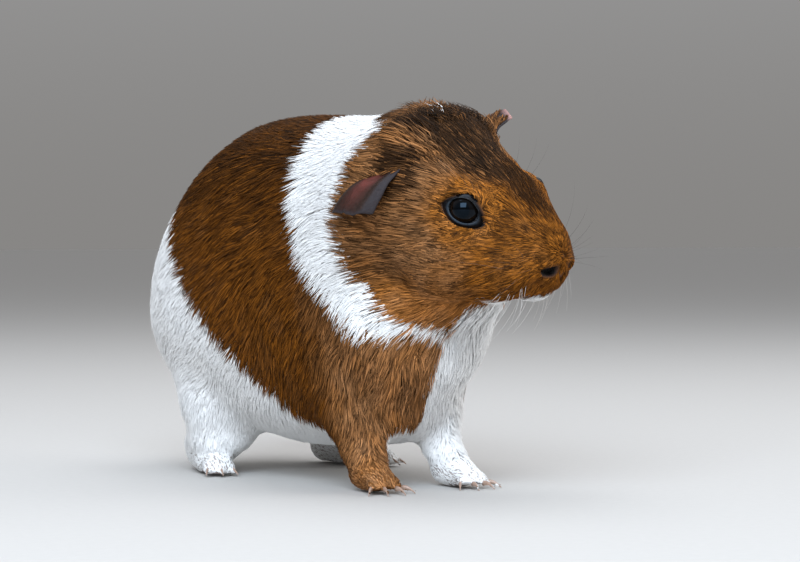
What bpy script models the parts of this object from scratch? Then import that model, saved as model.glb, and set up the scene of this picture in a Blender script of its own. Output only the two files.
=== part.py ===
"""Guinea pig, life size: a still museum model of a short-haired animal that stands on its four feet.

Run it with:  blender --background --python part.py
Units are metres and +Z is up. The animal's trunk faces -Y, its left side is +X, and its head is turned a little
to its left. The solids hold the outline of the coat, out to the tips of the hair. The body is modelled whole, from
one loft and a few rounded masses, and is then parted into head, neck, trunk, legs and feet with thin cuts. Ears
and eyes are bodies of their own.
"""

import math
from collections import namedtuple

import bmesh
import bpy
import numpy as np
from mathutils import Matrix, Vector

MM = 0.001

# ---- fineness of the surface
LOFT_RINGS = 90
LOFT_SIDES = 48
VOXEL = 1.5 * MM
FINE_VOXEL = 1.0 * MM
BODY_SMOOTHING = 12
FINE_SMOOTHING = 2
BODY_TRIANGLES = 3350
SHELL_FINENESS = 8
PART_GAP = 0.35

# ---- driving dimensions of the body, in millimetres. Y runs backwards from the middle of the trunk
Section = namedtuple("Section", "place y z half_width rise drop")
TRUNK = [
    Section("rump end", 82, 55, 7, 8, 8),
    Section("rump", 76, 55, 22, 24, 20),
    Section("haunches", 67, 55, 33, 38, 28),
    Section("hips", 53, 55.5, 41.5, 53, 37),
    Section("loins", 31, 59, 46.5, 62, 45),
    Section("belly", 4, 60.5, 46.5, 62.5, 49.5),
    Section("ribs", -20, 63, 43, 58.5, 51),
    Section("shoulders", -39, 68, 37.5, 53, 50),
]

# ---- the head, in its own frame: X forward, Y to its left, Z up, from the point midway between the eyes
HeadSection = namedtuple("HeadSection", "place x z half_width rise drop")
HEAD = [
    HeadSection("nape", -35, -6, 31.5, 30.5, 40),
    HeadSection("ears", -22, -3.5, 28, 28, 33),
    HeadSection("cheeks", -10, -4.5, 25, 23.5, 29),
    HeadSection("eyes", 0, -5.5, 21.3, 19.3, 26),
    HeadSection("face", 8.5, -8.5, 17.3, 16.3, 21),
    HeadSection("muzzle", 16, -11.8, 13.5, 13.6, 15.5),
    HeadSection("nose", 22.3, -14.3, 10.5, 11, 11.5),
    HeadSection("nose tip", 25.2, -15, 6.2, 7.4, 7.6),
]
HEAD_CENTRE = Vector((8, -91, 92)) * MM
HEAD_TURN = math.radians(23)
HEAD_DIP = math.radians(14)
HEAD_TILT = math.radians(10)

# ---- rounded masses that are melted into the loft: centre and radii, in millimetres
Mass = namedtuple("Mass", "name centre radii")
CHEST = [
    Mass("breast", (0, -52, 56), (30, 23, 31)),
    Mass("throat", (2, -62, 65), (23, 22, 20)),
    Mass("keel", (0, -38, 38), (26, 25, 25)),
]
FACE_MIDDLE = [
    Mass("nose_bridge", (12.5, 0, -9), (14, 8.5, 10)),
    Mass("nose_pad", (23.2, 0, -14), (4.2, 6.4, 6.0)),
    Mass("chin", (16, 0, -24.5), (6.5, 7, 5.5)),
]
FACE_PAIRED = [
    Mass("whisker_pad", (18.3, 6.4, -17.5), (8.3, 7.4, 7.2)),
    Mass("cheek", (-8, 15, -15), (18, 13, 17)),
    Mass("jowl", (6, 11, -18), (14, 9, 12)),
    Mass("brow", (-3, 14, 2.6), (12, 7.3, 7.6)),
]

# ---- eyes, and the sockets that hold them
EYE_RADIUS = 5.3
SOCKET_RADIUS = 5.6
EYE_CENTRE = Vector((0, 19.5, 0))

# ---- openings of the nose and mouth
NOSTRIL = Mass("nostril", (25.2, 4.6, -15.8), (2.2, 1.9, 1.2))
PHILTRUM = Mass("philtrum", (26.8, 0, -20), (3.0, 0.45, 3.8))
MOUTH = Mass("mouth", (15.8, 0, -23.6), (8.5, 9.5, 0.7))

# ---- ears: the four corners of each petal, as if on the left side, in the head's frame. The right one droops
EarCorners = namedtuple("EarCorners", "root_front root_rear tip_front tip_rear")
RAISED_EAR = EarCorners((-19, 19.5, 11), (-31.5, 23, 7), (-20.5, 33.5, 19.5), (-33.5, 36.5, 12))
DROOPING_EAR = EarCorners((-20.5, 19.5, 11), (-33, 24, 4), (-21, 36.5, -3), (-36, 35.5, -3.5))
EAR_CAMBER = 3.2
EAR_THICKNESS = 1.4
EAR_ROOT_REACH = 0.32
EAR_STEPS_ACROSS = 8
EAR_STEPS_OUT = 6

# ---- limbs, for the left side: the right side mirrors them
FORELEG = [((16, -43, 40), 15), ((16, -43, 26), 11.5), ((15.5, -48, 15), 8), ((15.5, -51, 8), 6.2)]
HINDLEG = [((21, 36, 40), 20), ((24, 27, 28), 17), ((27, 27, 15), 11), ((25, 41, 8), 8)]
Foot = namedtuple("Foot", "heel ball heel_radius ball_radius")
FOREFOOT = Foot((15.5, -49, 5.6), (16, -57, 4.8), 5.6, 5.6)
HINDFOOT = Foot((25, 44, 6.2), (30, 27, 4.8), 6.2, 6.4)
Toes = namedtuple("Toes", "count spread length radius claw_length claw_radius")
FORE_TOES = Toes(4, math.radians(25), 8.0, 2.5, 2.4, 1.25)
HIND_TOES = Toes(3, math.radians(19), 9.5, 3.1, 3.2, 1.5)
CLAW_TIP_RADIUS = 0.35

# ---- where the body is parted: rounded shells, in millimetres
HEAD_SHELL = Mass("head_shell", (-2, 0, -6), (31, 45, 45))
NECK_SHELL = Mass("neck_shell", (-1, -62, 88), (48, 28, 42))
FORELEG_SHELL = Mass("foreleg_shell", (16.5, -49, 12), (15, 18, 20))
HINDLEG_SHELL = Mass("hindleg_shell", (27, 33, 10), (18, 26, 21))
FOREFOOT_HEIGHT = 9.5
HINDFOOT_HEIGHT = 11

COLOURS = {
    "head": (0.30, 0.15, 0.06),
    "neck": (0.80, 0.78, 0.74),
    "trunk": (0.26, 0.13, 0.06),
    "ear": (0.16, 0.11, 0.10),
    "eye": (0.01, 0.01, 0.012),
    "foreleg": (0.34, 0.17, 0.07),
    "forefoot": (0.40, 0.26, 0.20),
    "hindleg": (0.72, 0.69, 0.64),
    "hindfoot": (0.62, 0.44, 0.38),
}


def clear_scene():
    for thing in list(bpy.data.objects):
        bpy.data.objects.remove(thing, do_unlink=True)


def make_collection(name):
    made = bpy.data.collections.new(name)
    bpy.context.scene.collection.children.link(made)
    return made


def add_object(name, mesh, collection):
    thing = bpy.data.objects.new(name, mesh)
    collection.objects.link(thing)
    return thing


def add_mesh(name, vertices, faces, collection):
    mesh = bpy.data.meshes.new(name)
    mesh.from_pydata([tuple(v) for v in vertices], [], faces)
    work = bmesh.new()
    work.from_mesh(mesh)
    bmesh.ops.recalc_face_normals(work, faces=work.faces)
    work.to_mesh(mesh)
    work.free()
    return add_object(name, mesh, collection)


def head_frame():
    """The matrix that carries the head's own frame to the world, from millimetres to metres."""
    forward = Vector((math.sin(HEAD_TURN), -math.cos(HEAD_TURN), 0)) * math.cos(HEAD_DIP)
    forward.z = -math.sin(HEAD_DIP)
    left = Vector((0, 0, 1)).cross(forward).normalized()
    left = Matrix.Rotation(HEAD_TILT, 3, forward) @ left
    up = forward.cross(left)
    frame = Matrix((forward, left, up)).transposed().to_4x4()
    frame.translation = HEAD_CENTRE
    return frame @ Matrix.Scale(MM, 4)


def body_frame():
    return Matrix.Scale(MM, 4)


def mirrored(point, side):
    """A point given for the left side, on the side asked for: 1 is left, -1 is right."""
    return Vector((point[0] * side, point[1], point[2]))


def head_mirrored(point, side):
    return Vector((point[0], point[1] * side, point[2]))


# ---- the loft


def smooth_along(values, steps):
    """Rows of values read at even steps along a smooth curve through them all."""
    values = np.array(values, float)
    padded = np.vstack([2 * values[0] - values[1], values, 2 * values[-1] - values[-2]])
    read = []
    for at in np.linspace(0, len(values) - 1, steps):
        i = min(int(at), len(values) - 2)
        t = at - i
        a, b, c, d = padded[i : i + 4]
        bend = (2 * a - 5 * b + 4 * c - d) * t**2
        twist = (3 * b - a - 3 * c + d) * t**3
        read.append(0.5 * (2 * b + (c - a) * t + bend + twist))
    return np.array(read)


def body_sections():
    """Each section as a row: centre, sideways axis, upward axis, half width, rise and drop, all in metres."""
    rows = []
    for s in TRUNK:
        sizes = [s.half_width * MM, s.rise * MM, s.drop * MM]
        rows.append([0, s.y * MM, s.z * MM, 1, 0, 0, 0, 0, 1, *sizes])
    frame = head_frame()
    turn = frame.to_3x3().normalized()
    left = turn.col[1]
    up = turn.col[2]
    for s in HEAD:
        centre = frame @ Vector((s.x, 0, s.z))
        rows.append([*centre, *left, *up, s.half_width * MM, s.rise * MM, s.drop * MM])
    return rows


def loft_body(collection):
    vertices = []
    for row in smooth_along(body_sections(), LOFT_RINGS):
        centre, left, up = row[0:3], row[3:6], row[6:9]
        half_width, rise, drop = row[9:12]
        for turn in np.linspace(0, 2 * math.pi, LOFT_SIDES, endpoint=False):
            height = rise if math.sin(turn) > 0 else drop
            vertices.append(centre + left * half_width * math.cos(turn) + up * height * math.sin(turn))
    faces = []
    for ring in range(LOFT_RINGS - 1):
        for side in range(LOFT_SIDES):
            a = ring * LOFT_SIDES + side
            b = ring * LOFT_SIDES + (side + 1) % LOFT_SIDES
            faces.append((a, b, b + LOFT_SIDES, a + LOFT_SIDES))
    last = (LOFT_RINGS - 1) * LOFT_SIDES
    faces.append(tuple(range(LOFT_SIDES - 1, -1, -1)))
    faces.append(tuple(range(last, last + LOFT_SIDES)))
    return add_mesh("body", vertices, faces, collection)


# ---- rounded masses, limbs and feet


def ball(name, centre, radii, collection, frame=None, fineness=16):
    """An ellipsoid with the given centre and radii, in millimetres, in the given frame."""
    work = bmesh.new()
    bmesh.ops.create_uvsphere(work, u_segments=fineness * 2, v_segments=fineness, radius=1)
    shape = Matrix.Translation(Vector(centre)) @ Matrix.Diagonal((*radii, 1))
    bmesh.ops.transform(work, matrix=(frame or body_frame()) @ shape, verts=work.verts)
    mesh = bpy.data.meshes.new(name)
    work.to_mesh(mesh)
    work.free()
    return add_object(name, mesh, collection)


def limb(name, joints, side, collection):
    """A chain of balls through the joints, close enough to melt into one rounded limb."""
    pieces = []
    for number, ((start, start_radius), (end, end_radius)) in enumerate(zip(joints, joints[1:])):
        a = mirrored(start, side)
        b = mirrored(end, side)
        steps = max(2, int((b - a).length / 2.5))
        for k in range(steps + 1):
            share = k / steps
            radius = start_radius + (end_radius - start_radius) * share
            pieces.append(ball(f"{name}_{number}_{k}", a.lerp(b, share), [radius] * 3, collection))
    return pieces


def toe_lines(foot, toes, side):
    """The root, the tip and the direction of each toe of a foot, in millimetres."""
    heel = mirrored(foot.heel, side)
    front = mirrored(foot.ball, side)
    forward = (front - heel).normalized()
    lines = []
    for number in range(toes.count):
        fan = (number - (toes.count - 1) / 2) * toes.spread
        along = Matrix.Rotation(fan, 3, "Z") @ forward
        along.z = 0
        along.normalize()
        middle_share = 1 - 0.35 * abs(fan) / max(toes.spread, 0.001) / toes.count
        root = front + along * foot.ball_radius * 0.5
        root.z = toes.radius + 1.2
        tip = root + along * toes.length * middle_share
        tip.z = toes.radius - 0.5
        lines.append((root, tip, along))
    return lines


def foot_masses(name, foot, toes, side, collection):
    sole = [(foot.heel, foot.heel_radius), (foot.ball, foot.ball_radius)]
    pieces = limb(name, sole, side, collection)
    for number, (root, tip, along) in enumerate(toe_lines(foot, toes, side)):
        for k in range(5):
            share = k / 4
            centre = root.lerp(tip, share)
            centre.z += 0.9 * math.sin(math.pi * share)
            radius = toes.radius * (1 - 0.12 * share)
            pieces.append(ball(f"{name}_toe_{number}_{k}", centre, [radius] * 3, collection, fineness=8))
    return pieces


def claw(name, tip, along, toes, collection):
    """A blunt cone that starts inside the toe's tip and reaches forward and down."""
    start = tip - along * 3.2 + Vector((0, 0, 0.4))
    end = tip + along * (toes.radius * 0.88 + toes.claw_length)
    end.z = 0.95
    work = bmesh.new()
    bmesh.ops.create_cone(
        work,
        cap_ends=True,
        segments=7,
        radius1=toes.claw_radius,
        radius2=CLAW_TIP_RADIUS,
        depth=(end - start).length,
    )
    turn = (end - start).to_track_quat("Z", "Y").to_matrix().to_4x4()
    bmesh.ops.transform(work, matrix=body_frame() @ Matrix.Translation((start + end) / 2) @ turn, verts=work.verts)
    mesh = bpy.data.meshes.new(name)
    work.to_mesh(mesh)
    work.free()
    return add_object(name, mesh, collection)


# ---- ears


def ear_point(corners, across, out):
    """A point of the ear's sheet: across runs from its front edge to its rear edge, out from root to rim."""
    root_front, root_rear, tip_front, tip_rear = [Vector(corner) for corner in corners]
    root = root_front.lerp(root_rear, across)
    rim = tip_front.lerp(tip_rear, across)
    along = (root_rear - root_front).normalized()
    lift = (rim - root).cross(along).normalized()
    petal = 1.0 + 0.16 * math.sin(math.pi * min(across * 1.7, 1)) - 0.10 * math.sin(math.pi * across)
    point = root.lerp(rim, out * petal)
    belly = math.sin(math.pi * (0.15 + 0.75 * out)) * EAR_CAMBER
    roll = -2.6 * (1 - across) ** 6 * out - 3.0 * across**5 * out
    wave = 0.7 * math.sin(2.2 * math.pi * across) * out**2
    narrowing = (0.5 - across) * 1.5 * math.cos(math.pi * min(out * 1.1, 1))
    return point + lift * (belly + roll + wave) + along * narrowing


def ear(name, corners, side, collection):
    """A petal-shaped sheet, thickened to both sides, whose root starts inside the head."""
    frame = head_frame()
    vertices = []
    for i in range(EAR_STEPS_OUT + 1):
        out = -EAR_ROOT_REACH + (1 + EAR_ROOT_REACH) * i / EAR_STEPS_OUT
        for j in range(EAR_STEPS_ACROSS + 1):
            point = ear_point(corners, j / EAR_STEPS_ACROSS, out)
            vertices.append(frame @ head_mirrored(point, side))
    faces = []
    row = EAR_STEPS_ACROSS + 1
    for i in range(EAR_STEPS_OUT):
        for j in range(EAR_STEPS_ACROSS):
            a = i * row + j
            faces.append((a, a + 1, a + row + 1, a + row))
    thing = add_mesh(name, vertices, faces, collection)
    thicken = thing.modifiers.new("thickness", "SOLIDIFY")
    thicken.thickness = EAR_THICKNESS * MM
    thicken.offset = 0
    thicken.use_even_offset = True
    settle(thing)
    return thing


# ---- working on whole meshes


def settle(thing):
    """Applies an object's modifiers."""
    graph = bpy.context.evaluated_depsgraph_get()
    made = bpy.data.meshes.new_from_object(thing.evaluated_get(graph))
    thing.modifiers.clear()
    thing.data = made


def join(target, others):
    """Adds the other meshes to the target's mesh, as loose shells."""
    work = bmesh.new()
    work.from_mesh(target.data)
    for other in others:
        work.from_mesh(other.data)
        bpy.data.objects.remove(other, do_unlink=True)
    work.to_mesh(target.data)
    work.free()


def melt(thing, voxel, smoothing):
    """Fuses a mesh's shells into one skin and softens it."""
    remesh = thing.modifiers.new("melt", "REMESH")
    remesh.mode = "VOXEL"
    remesh.voxel_size = voxel
    smooth = thing.modifiers.new("soften", "SMOOTH")
    smooth.factor = 0.5
    smooth.iterations = smoothing
    settle(thing)


def inflate(thing, distance):
    """Moves a closed mesh's surface outward by the distance, in millimetres."""
    work = bmesh.new()
    work.from_mesh(thing.data)
    work.normal_update()
    moves = [(vertex, vertex.normal * vertex.calc_shell_factor() * distance * MM) for vertex in work.verts]
    for vertex, move in moves:
        vertex.co += move
    work.to_mesh(thing.data)
    work.free()


def thin_out(thing, triangles):
    """Reduces a mesh to the given number of triangles: its flatter places lose most of them."""
    thing.data.calc_loop_triangles()
    reduce = thing.modifiers.new("reduce", "DECIMATE")
    reduce.ratio = triangles / len(thing.data.loop_triangles)
    reduce.use_collapse_triangulate = True
    settle(thing)


def boolean(thing, cutter, operation):
    change = thing.modifiers.new("boolean", "BOOLEAN")
    change.solver = "EXACT"
    change.operation = operation
    change.object = cutter
    settle(thing)


def cut_away(thing, cutter):
    boolean(thing, cutter, "DIFFERENCE")


def as_cutter(thing):
    thing.hide_render = True
    thing.display_type = "WIRE"
    return thing


def take_out(body, name, shell, frame, collection, cutters):
    """Parts a body in two: what lies inside a rounded shell is returned, and a thin gap is left round it."""
    inner = as_cutter(ball(f"{shell.name}_{name}", shell.centre, shell.radii, cutters, frame, SHELL_FINENESS))
    wider = [r + PART_GAP for r in shell.radii]
    outer = as_cutter(ball(f"{shell.name}_{name}_gap", shell.centre, wider, cutters, frame, SHELL_FINENESS))
    taken = add_object(name, body.data.copy(), collection)
    boolean(taken, inner, "INTERSECT")
    cut_away(body, outer)
    return taken


def slab(name, bottom, top, cutters):
    """A wide flat block between two heights, in millimetres."""
    work = bmesh.new()
    bmesh.ops.create_cube(work, size=1)
    size = Matrix.Diagonal((400, 400, top - bottom, 1))
    place = Matrix.Translation((0, 0, (top + bottom) / 2))
    bmesh.ops.transform(work, matrix=body_frame() @ place @ size, verts=work.verts)
    mesh = bpy.data.meshes.new(name)
    work.to_mesh(mesh)
    work.free()
    return as_cutter(add_object(name, mesh, cutters))


def part_leg(leg, foot_name, height, collection, cutters):
    """Parts a leg at a height: the foot below it is returned."""
    below = slab(f"{foot_name}_below", -50, height - PART_GAP, cutters)
    above = slab(f"{foot_name}_above", -50, height, cutters)
    foot = add_object(foot_name, leg.data.copy(), collection)
    boolean(foot, below, "INTERSECT")
    cut_away(leg, above)
    return foot


def tidy(thing):
    """Welds doubled points, drops slivers and keeps the largest shell."""
    work = bmesh.new()
    work.from_mesh(thing.data)
    bmesh.ops.remove_doubles(work, verts=work.verts, dist=0.001 * MM)
    bmesh.ops.dissolve_degenerate(work, edges=work.edges, dist=0.001 * MM)
    bmesh.ops.triangulate(work, faces=work.faces)
    seen = set()
    shells = []
    for start in work.verts:
        if start in seen:
            continue
        shell = []
        todo = [start]
        seen.add(start)
        while todo:
            vertex = todo.pop()
            shell.append(vertex)
            for edge in vertex.link_edges:
                other = edge.other_vert(vertex)
                if other not in seen:
                    seen.add(other)
                    todo.append(other)
        shells.append(shell)
    shells.sort(key=len)
    for shell in shells[:-1]:
        bmesh.ops.delete(work, geom=shell, context="VERTS")
    work.to_mesh(thing.data)
    work.free()


def paint(thing, kind):
    """Gives a part its own material and nothing else."""
    material = bpy.data.materials.new(f"{thing.name}_surface")
    material.use_nodes = True
    shader = material.node_tree.nodes["Principled BSDF"]
    shader.inputs["Base Color"].default_value = (*COLOURS[kind], 1)
    shader.inputs["Roughness"].default_value = 0.08 if kind == "eye" else 0.85
    thing.data.materials.clear()
    thing.data.materials.append(material)


def centre_on_floor(things):
    """Moves every part together so that the middle of the model's footprint box is at the origin."""
    points = np.array([vertex.co for thing in things for vertex in thing.data.vertices])
    low = points.min(axis=0)
    high = points.max(axis=0)
    shift = Vector(((low[0] + high[0]) / -2, (low[1] + high[1]) / -2, -low[2]))
    for thing in things:
        thing.data.transform(Matrix.Translation(shift))


# ---- the animal


def model_body(animal):
    """The whole body in one skin: the loft with its masses first, then the finer face, limbs and feet."""
    frame = head_frame()
    body = loft_body(animal)
    masses = [ball(m.name, m.centre, m.radii, animal) for m in CHEST]
    for side in (1, -1):
        masses += limb(f"upper_foreleg_{side}", FORELEG[:2], side, animal)
        masses += limb(f"upper_hindleg_{side}", HINDLEG[:2], side, animal)
        for m in FACE_PAIRED:
            masses.append(ball(f"{m.name}_{side}", head_mirrored(m.centre, side), m.radii, animal, frame))
    masses += [ball(m.name, m.centre, m.radii, animal, frame) for m in FACE_MIDDLE]
    join(body, masses)
    melt(body, VOXEL, BODY_SMOOTHING)
    details = []
    for side in (1, -1):
        details += limb(f"foreleg_{side}", FORELEG[1:], side, animal)
        details += limb(f"hindleg_{side}", HINDLEG[1:], side, animal)
        details += foot_masses(f"forefoot_{side}", FOREFOOT, FORE_TOES, side, animal)
        details += foot_masses(f"hindfoot_{side}", HINDFOOT, HIND_TOES, side, animal)
    join(body, details)
    melt(body, FINE_VOXEL, FINE_SMOOTHING)
    thin_out(body, BODY_TRIANGLES)
    return body


def main():
    clear_scene()
    animal = make_collection("guinea_pig")
    cutters = make_collection("cutters")
    frame = head_frame()
    body = model_body(animal)
    cut_away(body, slab("below_floor", -50, 0, cutters))

    openings = [ball(m.name, m.centre, m.radii, cutters, frame, 8) for m in (PHILTRUM, MOUTH)]
    for side in (1, -1):
        openings.append(ball(f"nostril_{side}", head_mirrored(NOSTRIL.centre, side), NOSTRIL.radii, cutters, frame, 6))
        socket = head_mirrored(EYE_CENTRE, side)
        openings.append(ball(f"socket_{side}", socket, [SOCKET_RADIUS] * 3, cutters, frame, 8))
        corners = RAISED_EAR if side == 1 else DROOPING_EAR
        slot = ear(f"ear_slot_{side}", corners, side, cutters)
        inflate(slot, PART_GAP)
        openings.append(slot)
    for opening in openings:
        cut_away(body, as_cutter(opening))

    parts = {}
    parts["head"] = take_out(body, "head", HEAD_SHELL, frame, animal, cutters)
    parts["neck"] = take_out(body, "neck", NECK_SHELL, body_frame(), animal, cutters)
    for side, label in ((1, "left"), (-1, "right")):
        for limb_name, shell, foot, toes, height in (
            ("fore", FORELEG_SHELL, FOREFOOT, FORE_TOES, FOREFOOT_HEIGHT),
            ("hind", HINDLEG_SHELL, HINDFOOT, HIND_TOES, HINDFOOT_HEIGHT),
        ):
            leg_shell = Mass(shell.name, mirrored(shell.centre, side), shell.radii)
            leg = take_out(body, f"{limb_name}leg_{label}", leg_shell, body_frame(), animal, cutters)
            foot_part = part_leg(leg, f"{limb_name}foot_{label}", height, animal, cutters)
            for number, (root, tip, along) in enumerate(toe_lines(foot, toes, side)):
                one = claw(f"{foot_part.name}_claw_{number}", tip, along, toes, cutters)
                boolean(foot_part, as_cutter(one), "UNION")
            parts[leg.name] = leg
            parts[foot_part.name] = foot_part
        parts[f"eye_{label}"] = ball(
            f"eye_{label}", head_mirrored(EYE_CENTRE, side), [EYE_RADIUS] * 3, animal, frame, 8
        )
        corners = RAISED_EAR if side == 1 else DROOPING_EAR
        parts[f"ear_{label}"] = ear(f"ear_{label}", corners, side, animal)
    body.name = "trunk"
    parts["trunk"] = body

    for name, thing in parts.items():
        tidy(thing)
        paint(thing, name.split("_")[0])
    centre_on_floor(list(parts.values()))
    for thing in list(cutters.objects):
        thing.data.name = thing.name


main()
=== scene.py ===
# %% [markdown]
# # A short-haired guinea pig, life size
# This notebook dresses a set of solids as a living animal: one skin under the coat, wet eyes with naked lids,
# leathery ears, claws, whiskers, and a coat of many thousand small tapered locks that lie the way the hair grows.
# The solids hold the outline of the coat, so the skin is drawn a few millimetres inside them and the locks fill
# the space between.

# %% Load the solids
import math
import time
from contextlib import contextmanager

import bpy
import numpy as np
from mathutils import Matrix, Vector, noise
from mathutils.bvhtree import BVHTree


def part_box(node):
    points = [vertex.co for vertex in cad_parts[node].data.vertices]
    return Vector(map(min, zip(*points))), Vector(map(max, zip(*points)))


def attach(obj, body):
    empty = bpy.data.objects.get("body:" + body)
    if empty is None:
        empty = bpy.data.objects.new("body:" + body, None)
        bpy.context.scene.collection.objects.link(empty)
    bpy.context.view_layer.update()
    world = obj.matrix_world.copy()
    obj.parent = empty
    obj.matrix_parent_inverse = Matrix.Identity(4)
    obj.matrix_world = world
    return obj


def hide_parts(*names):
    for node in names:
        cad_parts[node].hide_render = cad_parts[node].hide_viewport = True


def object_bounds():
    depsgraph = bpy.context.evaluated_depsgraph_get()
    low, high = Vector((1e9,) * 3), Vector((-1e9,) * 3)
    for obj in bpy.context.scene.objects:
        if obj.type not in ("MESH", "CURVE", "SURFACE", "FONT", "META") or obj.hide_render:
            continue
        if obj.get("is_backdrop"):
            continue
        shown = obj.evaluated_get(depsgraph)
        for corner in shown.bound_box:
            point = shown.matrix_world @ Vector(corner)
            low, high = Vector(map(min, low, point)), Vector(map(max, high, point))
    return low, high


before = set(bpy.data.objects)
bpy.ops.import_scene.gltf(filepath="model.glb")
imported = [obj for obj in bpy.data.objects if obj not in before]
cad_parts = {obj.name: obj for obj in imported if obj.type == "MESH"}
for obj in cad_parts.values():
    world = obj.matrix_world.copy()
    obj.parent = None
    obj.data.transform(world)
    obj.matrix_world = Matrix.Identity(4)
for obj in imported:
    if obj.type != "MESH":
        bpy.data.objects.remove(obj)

started = time.time()
cad_box = [list(corner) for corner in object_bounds()]
MM = 0.001
SIDES = {1: "left", -1: "right"}  # the sign that each side of the animal has across it
rng = np.random.default_rng(7)
print("solids:", sorted(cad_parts))

# %% [markdown]
# Small helpers come first. Colours are written as the hex values of a paint chart and turned to linear light.
# One function adds a shader node. Short ones on top of it read an attribute, mix two colours or values, stretch
# a value, draw noise at a real size, and raise a bump. Another function ends each piece: its place goes into its
# mesh, it is shaded smooth, gets its material, and rides on the one body that this still model has.

# %% Helpers
def linear(code, alpha=1.0):
    """An sRGB hex colour as linear light."""
    parts = [int(code[i : i + 2], 16) / 255 for i in (1, 3, 5)]
    return (*[c / 12.92 if c <= 0.04045 else ((c + 0.055) / 1.055) ** 2.4 for c in parts], alpha)


def add_node(tree, kind, sockets=None, **settings):
    """A shader node. Each socket gets a hex colour, a value, or the output that is linked into it."""
    node = tree.nodes.new("ShaderNode" + kind)
    for name, value in settings.items():
        setattr(node, name, value)
    for name, value in (sockets or {}).items():
        if isinstance(value, bpy.types.NodeSocket):
            tree.links.new(value, node.inputs[name])
        else:
            node.inputs[name].default_value = linear(value) if isinstance(value, str) else value
    return node


def new_material(name):
    """An empty node material, and the tree to fill."""
    material = bpy.data.materials.new(name)
    material.use_nodes = True
    material.node_tree.nodes.clear()
    return material, material.node_tree


def close_material(tree, sockets):
    """Ends a material with its Principled surface and the output."""
    surface = add_node(tree, "BsdfPrincipled", sockets)
    add_node(tree, "OutputMaterial", {"Surface": surface.outputs["BSDF"]})


def own_place(tree):
    """The object's own coordinates, in metres."""
    return add_node(tree, "TexCoord").outputs["Object"]


def attribute(tree, name):
    """The outputs of a node that reads an attribute of the mesh."""
    return add_node(tree, "Attribute", attribute_name=name).outputs


def split_colour(tree, colour):
    """The red, green and blue of a colour."""
    return add_node(tree, "SeparateColor", {"Color": colour}).outputs


def mixed(tree, share, first, second, **settings):
    """Two colours mixed by a share."""
    return add_node(tree, "Mix", {0: share, 6: first, 7: second}, data_type="RGBA", **settings).outputs[2]


def mixed_value(tree, share, first, second):
    """Two values mixed by a share."""
    return add_node(tree, "Mix", {0: share, 2: first, 3: second}, data_type="FLOAT").outputs[0]


def stretched(tree, value, low, high, to_low=0.0, to_high=1.0, bend="LINEAR"):
    """A value stretched from one range to another, and held inside it."""
    sockets = {"Value": value, "From Min": low, "From Max": high, "To Min": to_low, "To Max": to_high}
    return add_node(tree, "MapRange", sockets, interpolation_type=bend).outputs["Result"]


def reckoned(tree, operation, first, second, **settings):
    """The result of two values."""
    return add_node(tree, "Math", {0: first, 1: second}, operation=operation, **settings).outputs["Value"]


def noise_map(tree, place, size, **sockets):
    """Noise with a grain of so many millimetres."""
    return add_node(tree, "TexNoise", {"Vector": place, "Scale": 1 / (size * MM), **sockets}).outputs["Fac"]


def bump(tree, height, strength, depth):
    """A bump of so many millimetres."""
    sockets = {"Height": height, "Strength": strength, "Distance": depth * MM}
    return add_node(tree, "Bump", sockets).outputs["Normal"]


def make_active(*things):
    """Selects these objects alone, and makes the last of them the active one."""
    bpy.ops.object.select_all(action="DESELECT")
    for thing in things:
        thing.select_set(True)
    bpy.context.view_layer.objects.active = things[-1]


def join(*things):
    """Joins objects into the last of them."""
    make_active(*things)
    bpy.ops.object.join()
    return things[-1]


@contextmanager
def edit_all(thing):
    """Edit Mode with the whole mesh selected."""
    make_active(thing)
    bpy.ops.object.mode_set(mode="EDIT")
    bpy.ops.mesh.select_all(action="SELECT")
    yield
    bpy.ops.object.mode_set(mode="OBJECT")


def face_outward(thing):
    with edit_all(thing):
        bpy.ops.mesh.normals_make_consistent(inside=False)


def apply_modifier(thing, kind, **settings):
    """Adds one modifier with its settings and applies it."""
    make_active(thing)
    modifier = thing.modifiers.new(kind.lower(), kind)
    for name, value in settings.items():
        setattr(modifier, name, value)
    bpy.ops.object.modifier_apply(modifier=modifier.name)


def new_object(name, mesh):
    thing = bpy.data.objects.new(name, mesh)
    bpy.context.scene.collection.objects.link(thing)
    return thing


def new_mesh(name, points, faces):
    """An object built from points in metres and faces."""
    mesh = bpy.data.meshes.new(name)
    mesh.from_pydata(points, [], faces)
    return new_object(name, mesh)


def complete(thing, name, material, replaced=()):
    """Ends a piece: place in the mesh, smooth, named, painted, and riding on the body."""
    make_active(thing)
    bpy.ops.object.transform_apply(location=True, rotation=True, scale=True)
    bpy.ops.object.shade_smooth()
    thing.name = name
    thing.data.name = name
    thing.data.materials.clear()
    thing.data.materials.append(material)
    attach(thing, "root")
    if replaced:
        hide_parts(*replaced)
    print(f"{name}: {len(thing.data.polygons)} faces")


def rows_of(items, key, width=3, kind=float):
    """One property of all vertices, corners or faces of a mesh, as rows."""
    flat = np.empty(len(items) * width, kind)
    items.foreach_get(key, flat)
    return flat.reshape(-1, width)


def vertex_array(thing):
    """All vertex positions of a mesh object, as rows of x, y, z."""
    return rows_of(thing.data.vertices, "co")


def set_vertices(thing, places):
    thing.data.vertices.foreach_set("co", np.asarray(places, float).ravel())
    thing.data.update()


def store(thing, name, kind, values):
    """Keeps one value or colour for each point of a mesh."""
    layer = thing.data.attributes.new(name, kind, "POINT")
    key = "color" if kind == "FLOAT_COLOR" else "value"
    layer.data.foreach_set(key, np.asarray(values, float).ravel())


def smoothstep(low, high, value):
    """0 below low, 1 above high, and an even bend between them. It also works with low above high."""
    share = np.clip((np.asarray(value, float) - low) / (high - low), 0, 1)
    return share * share * (3 - 2 * share)


def blend(first, second, share):
    """The first value, moved towards the second by a share."""
    return first + (second - first) * share


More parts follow.
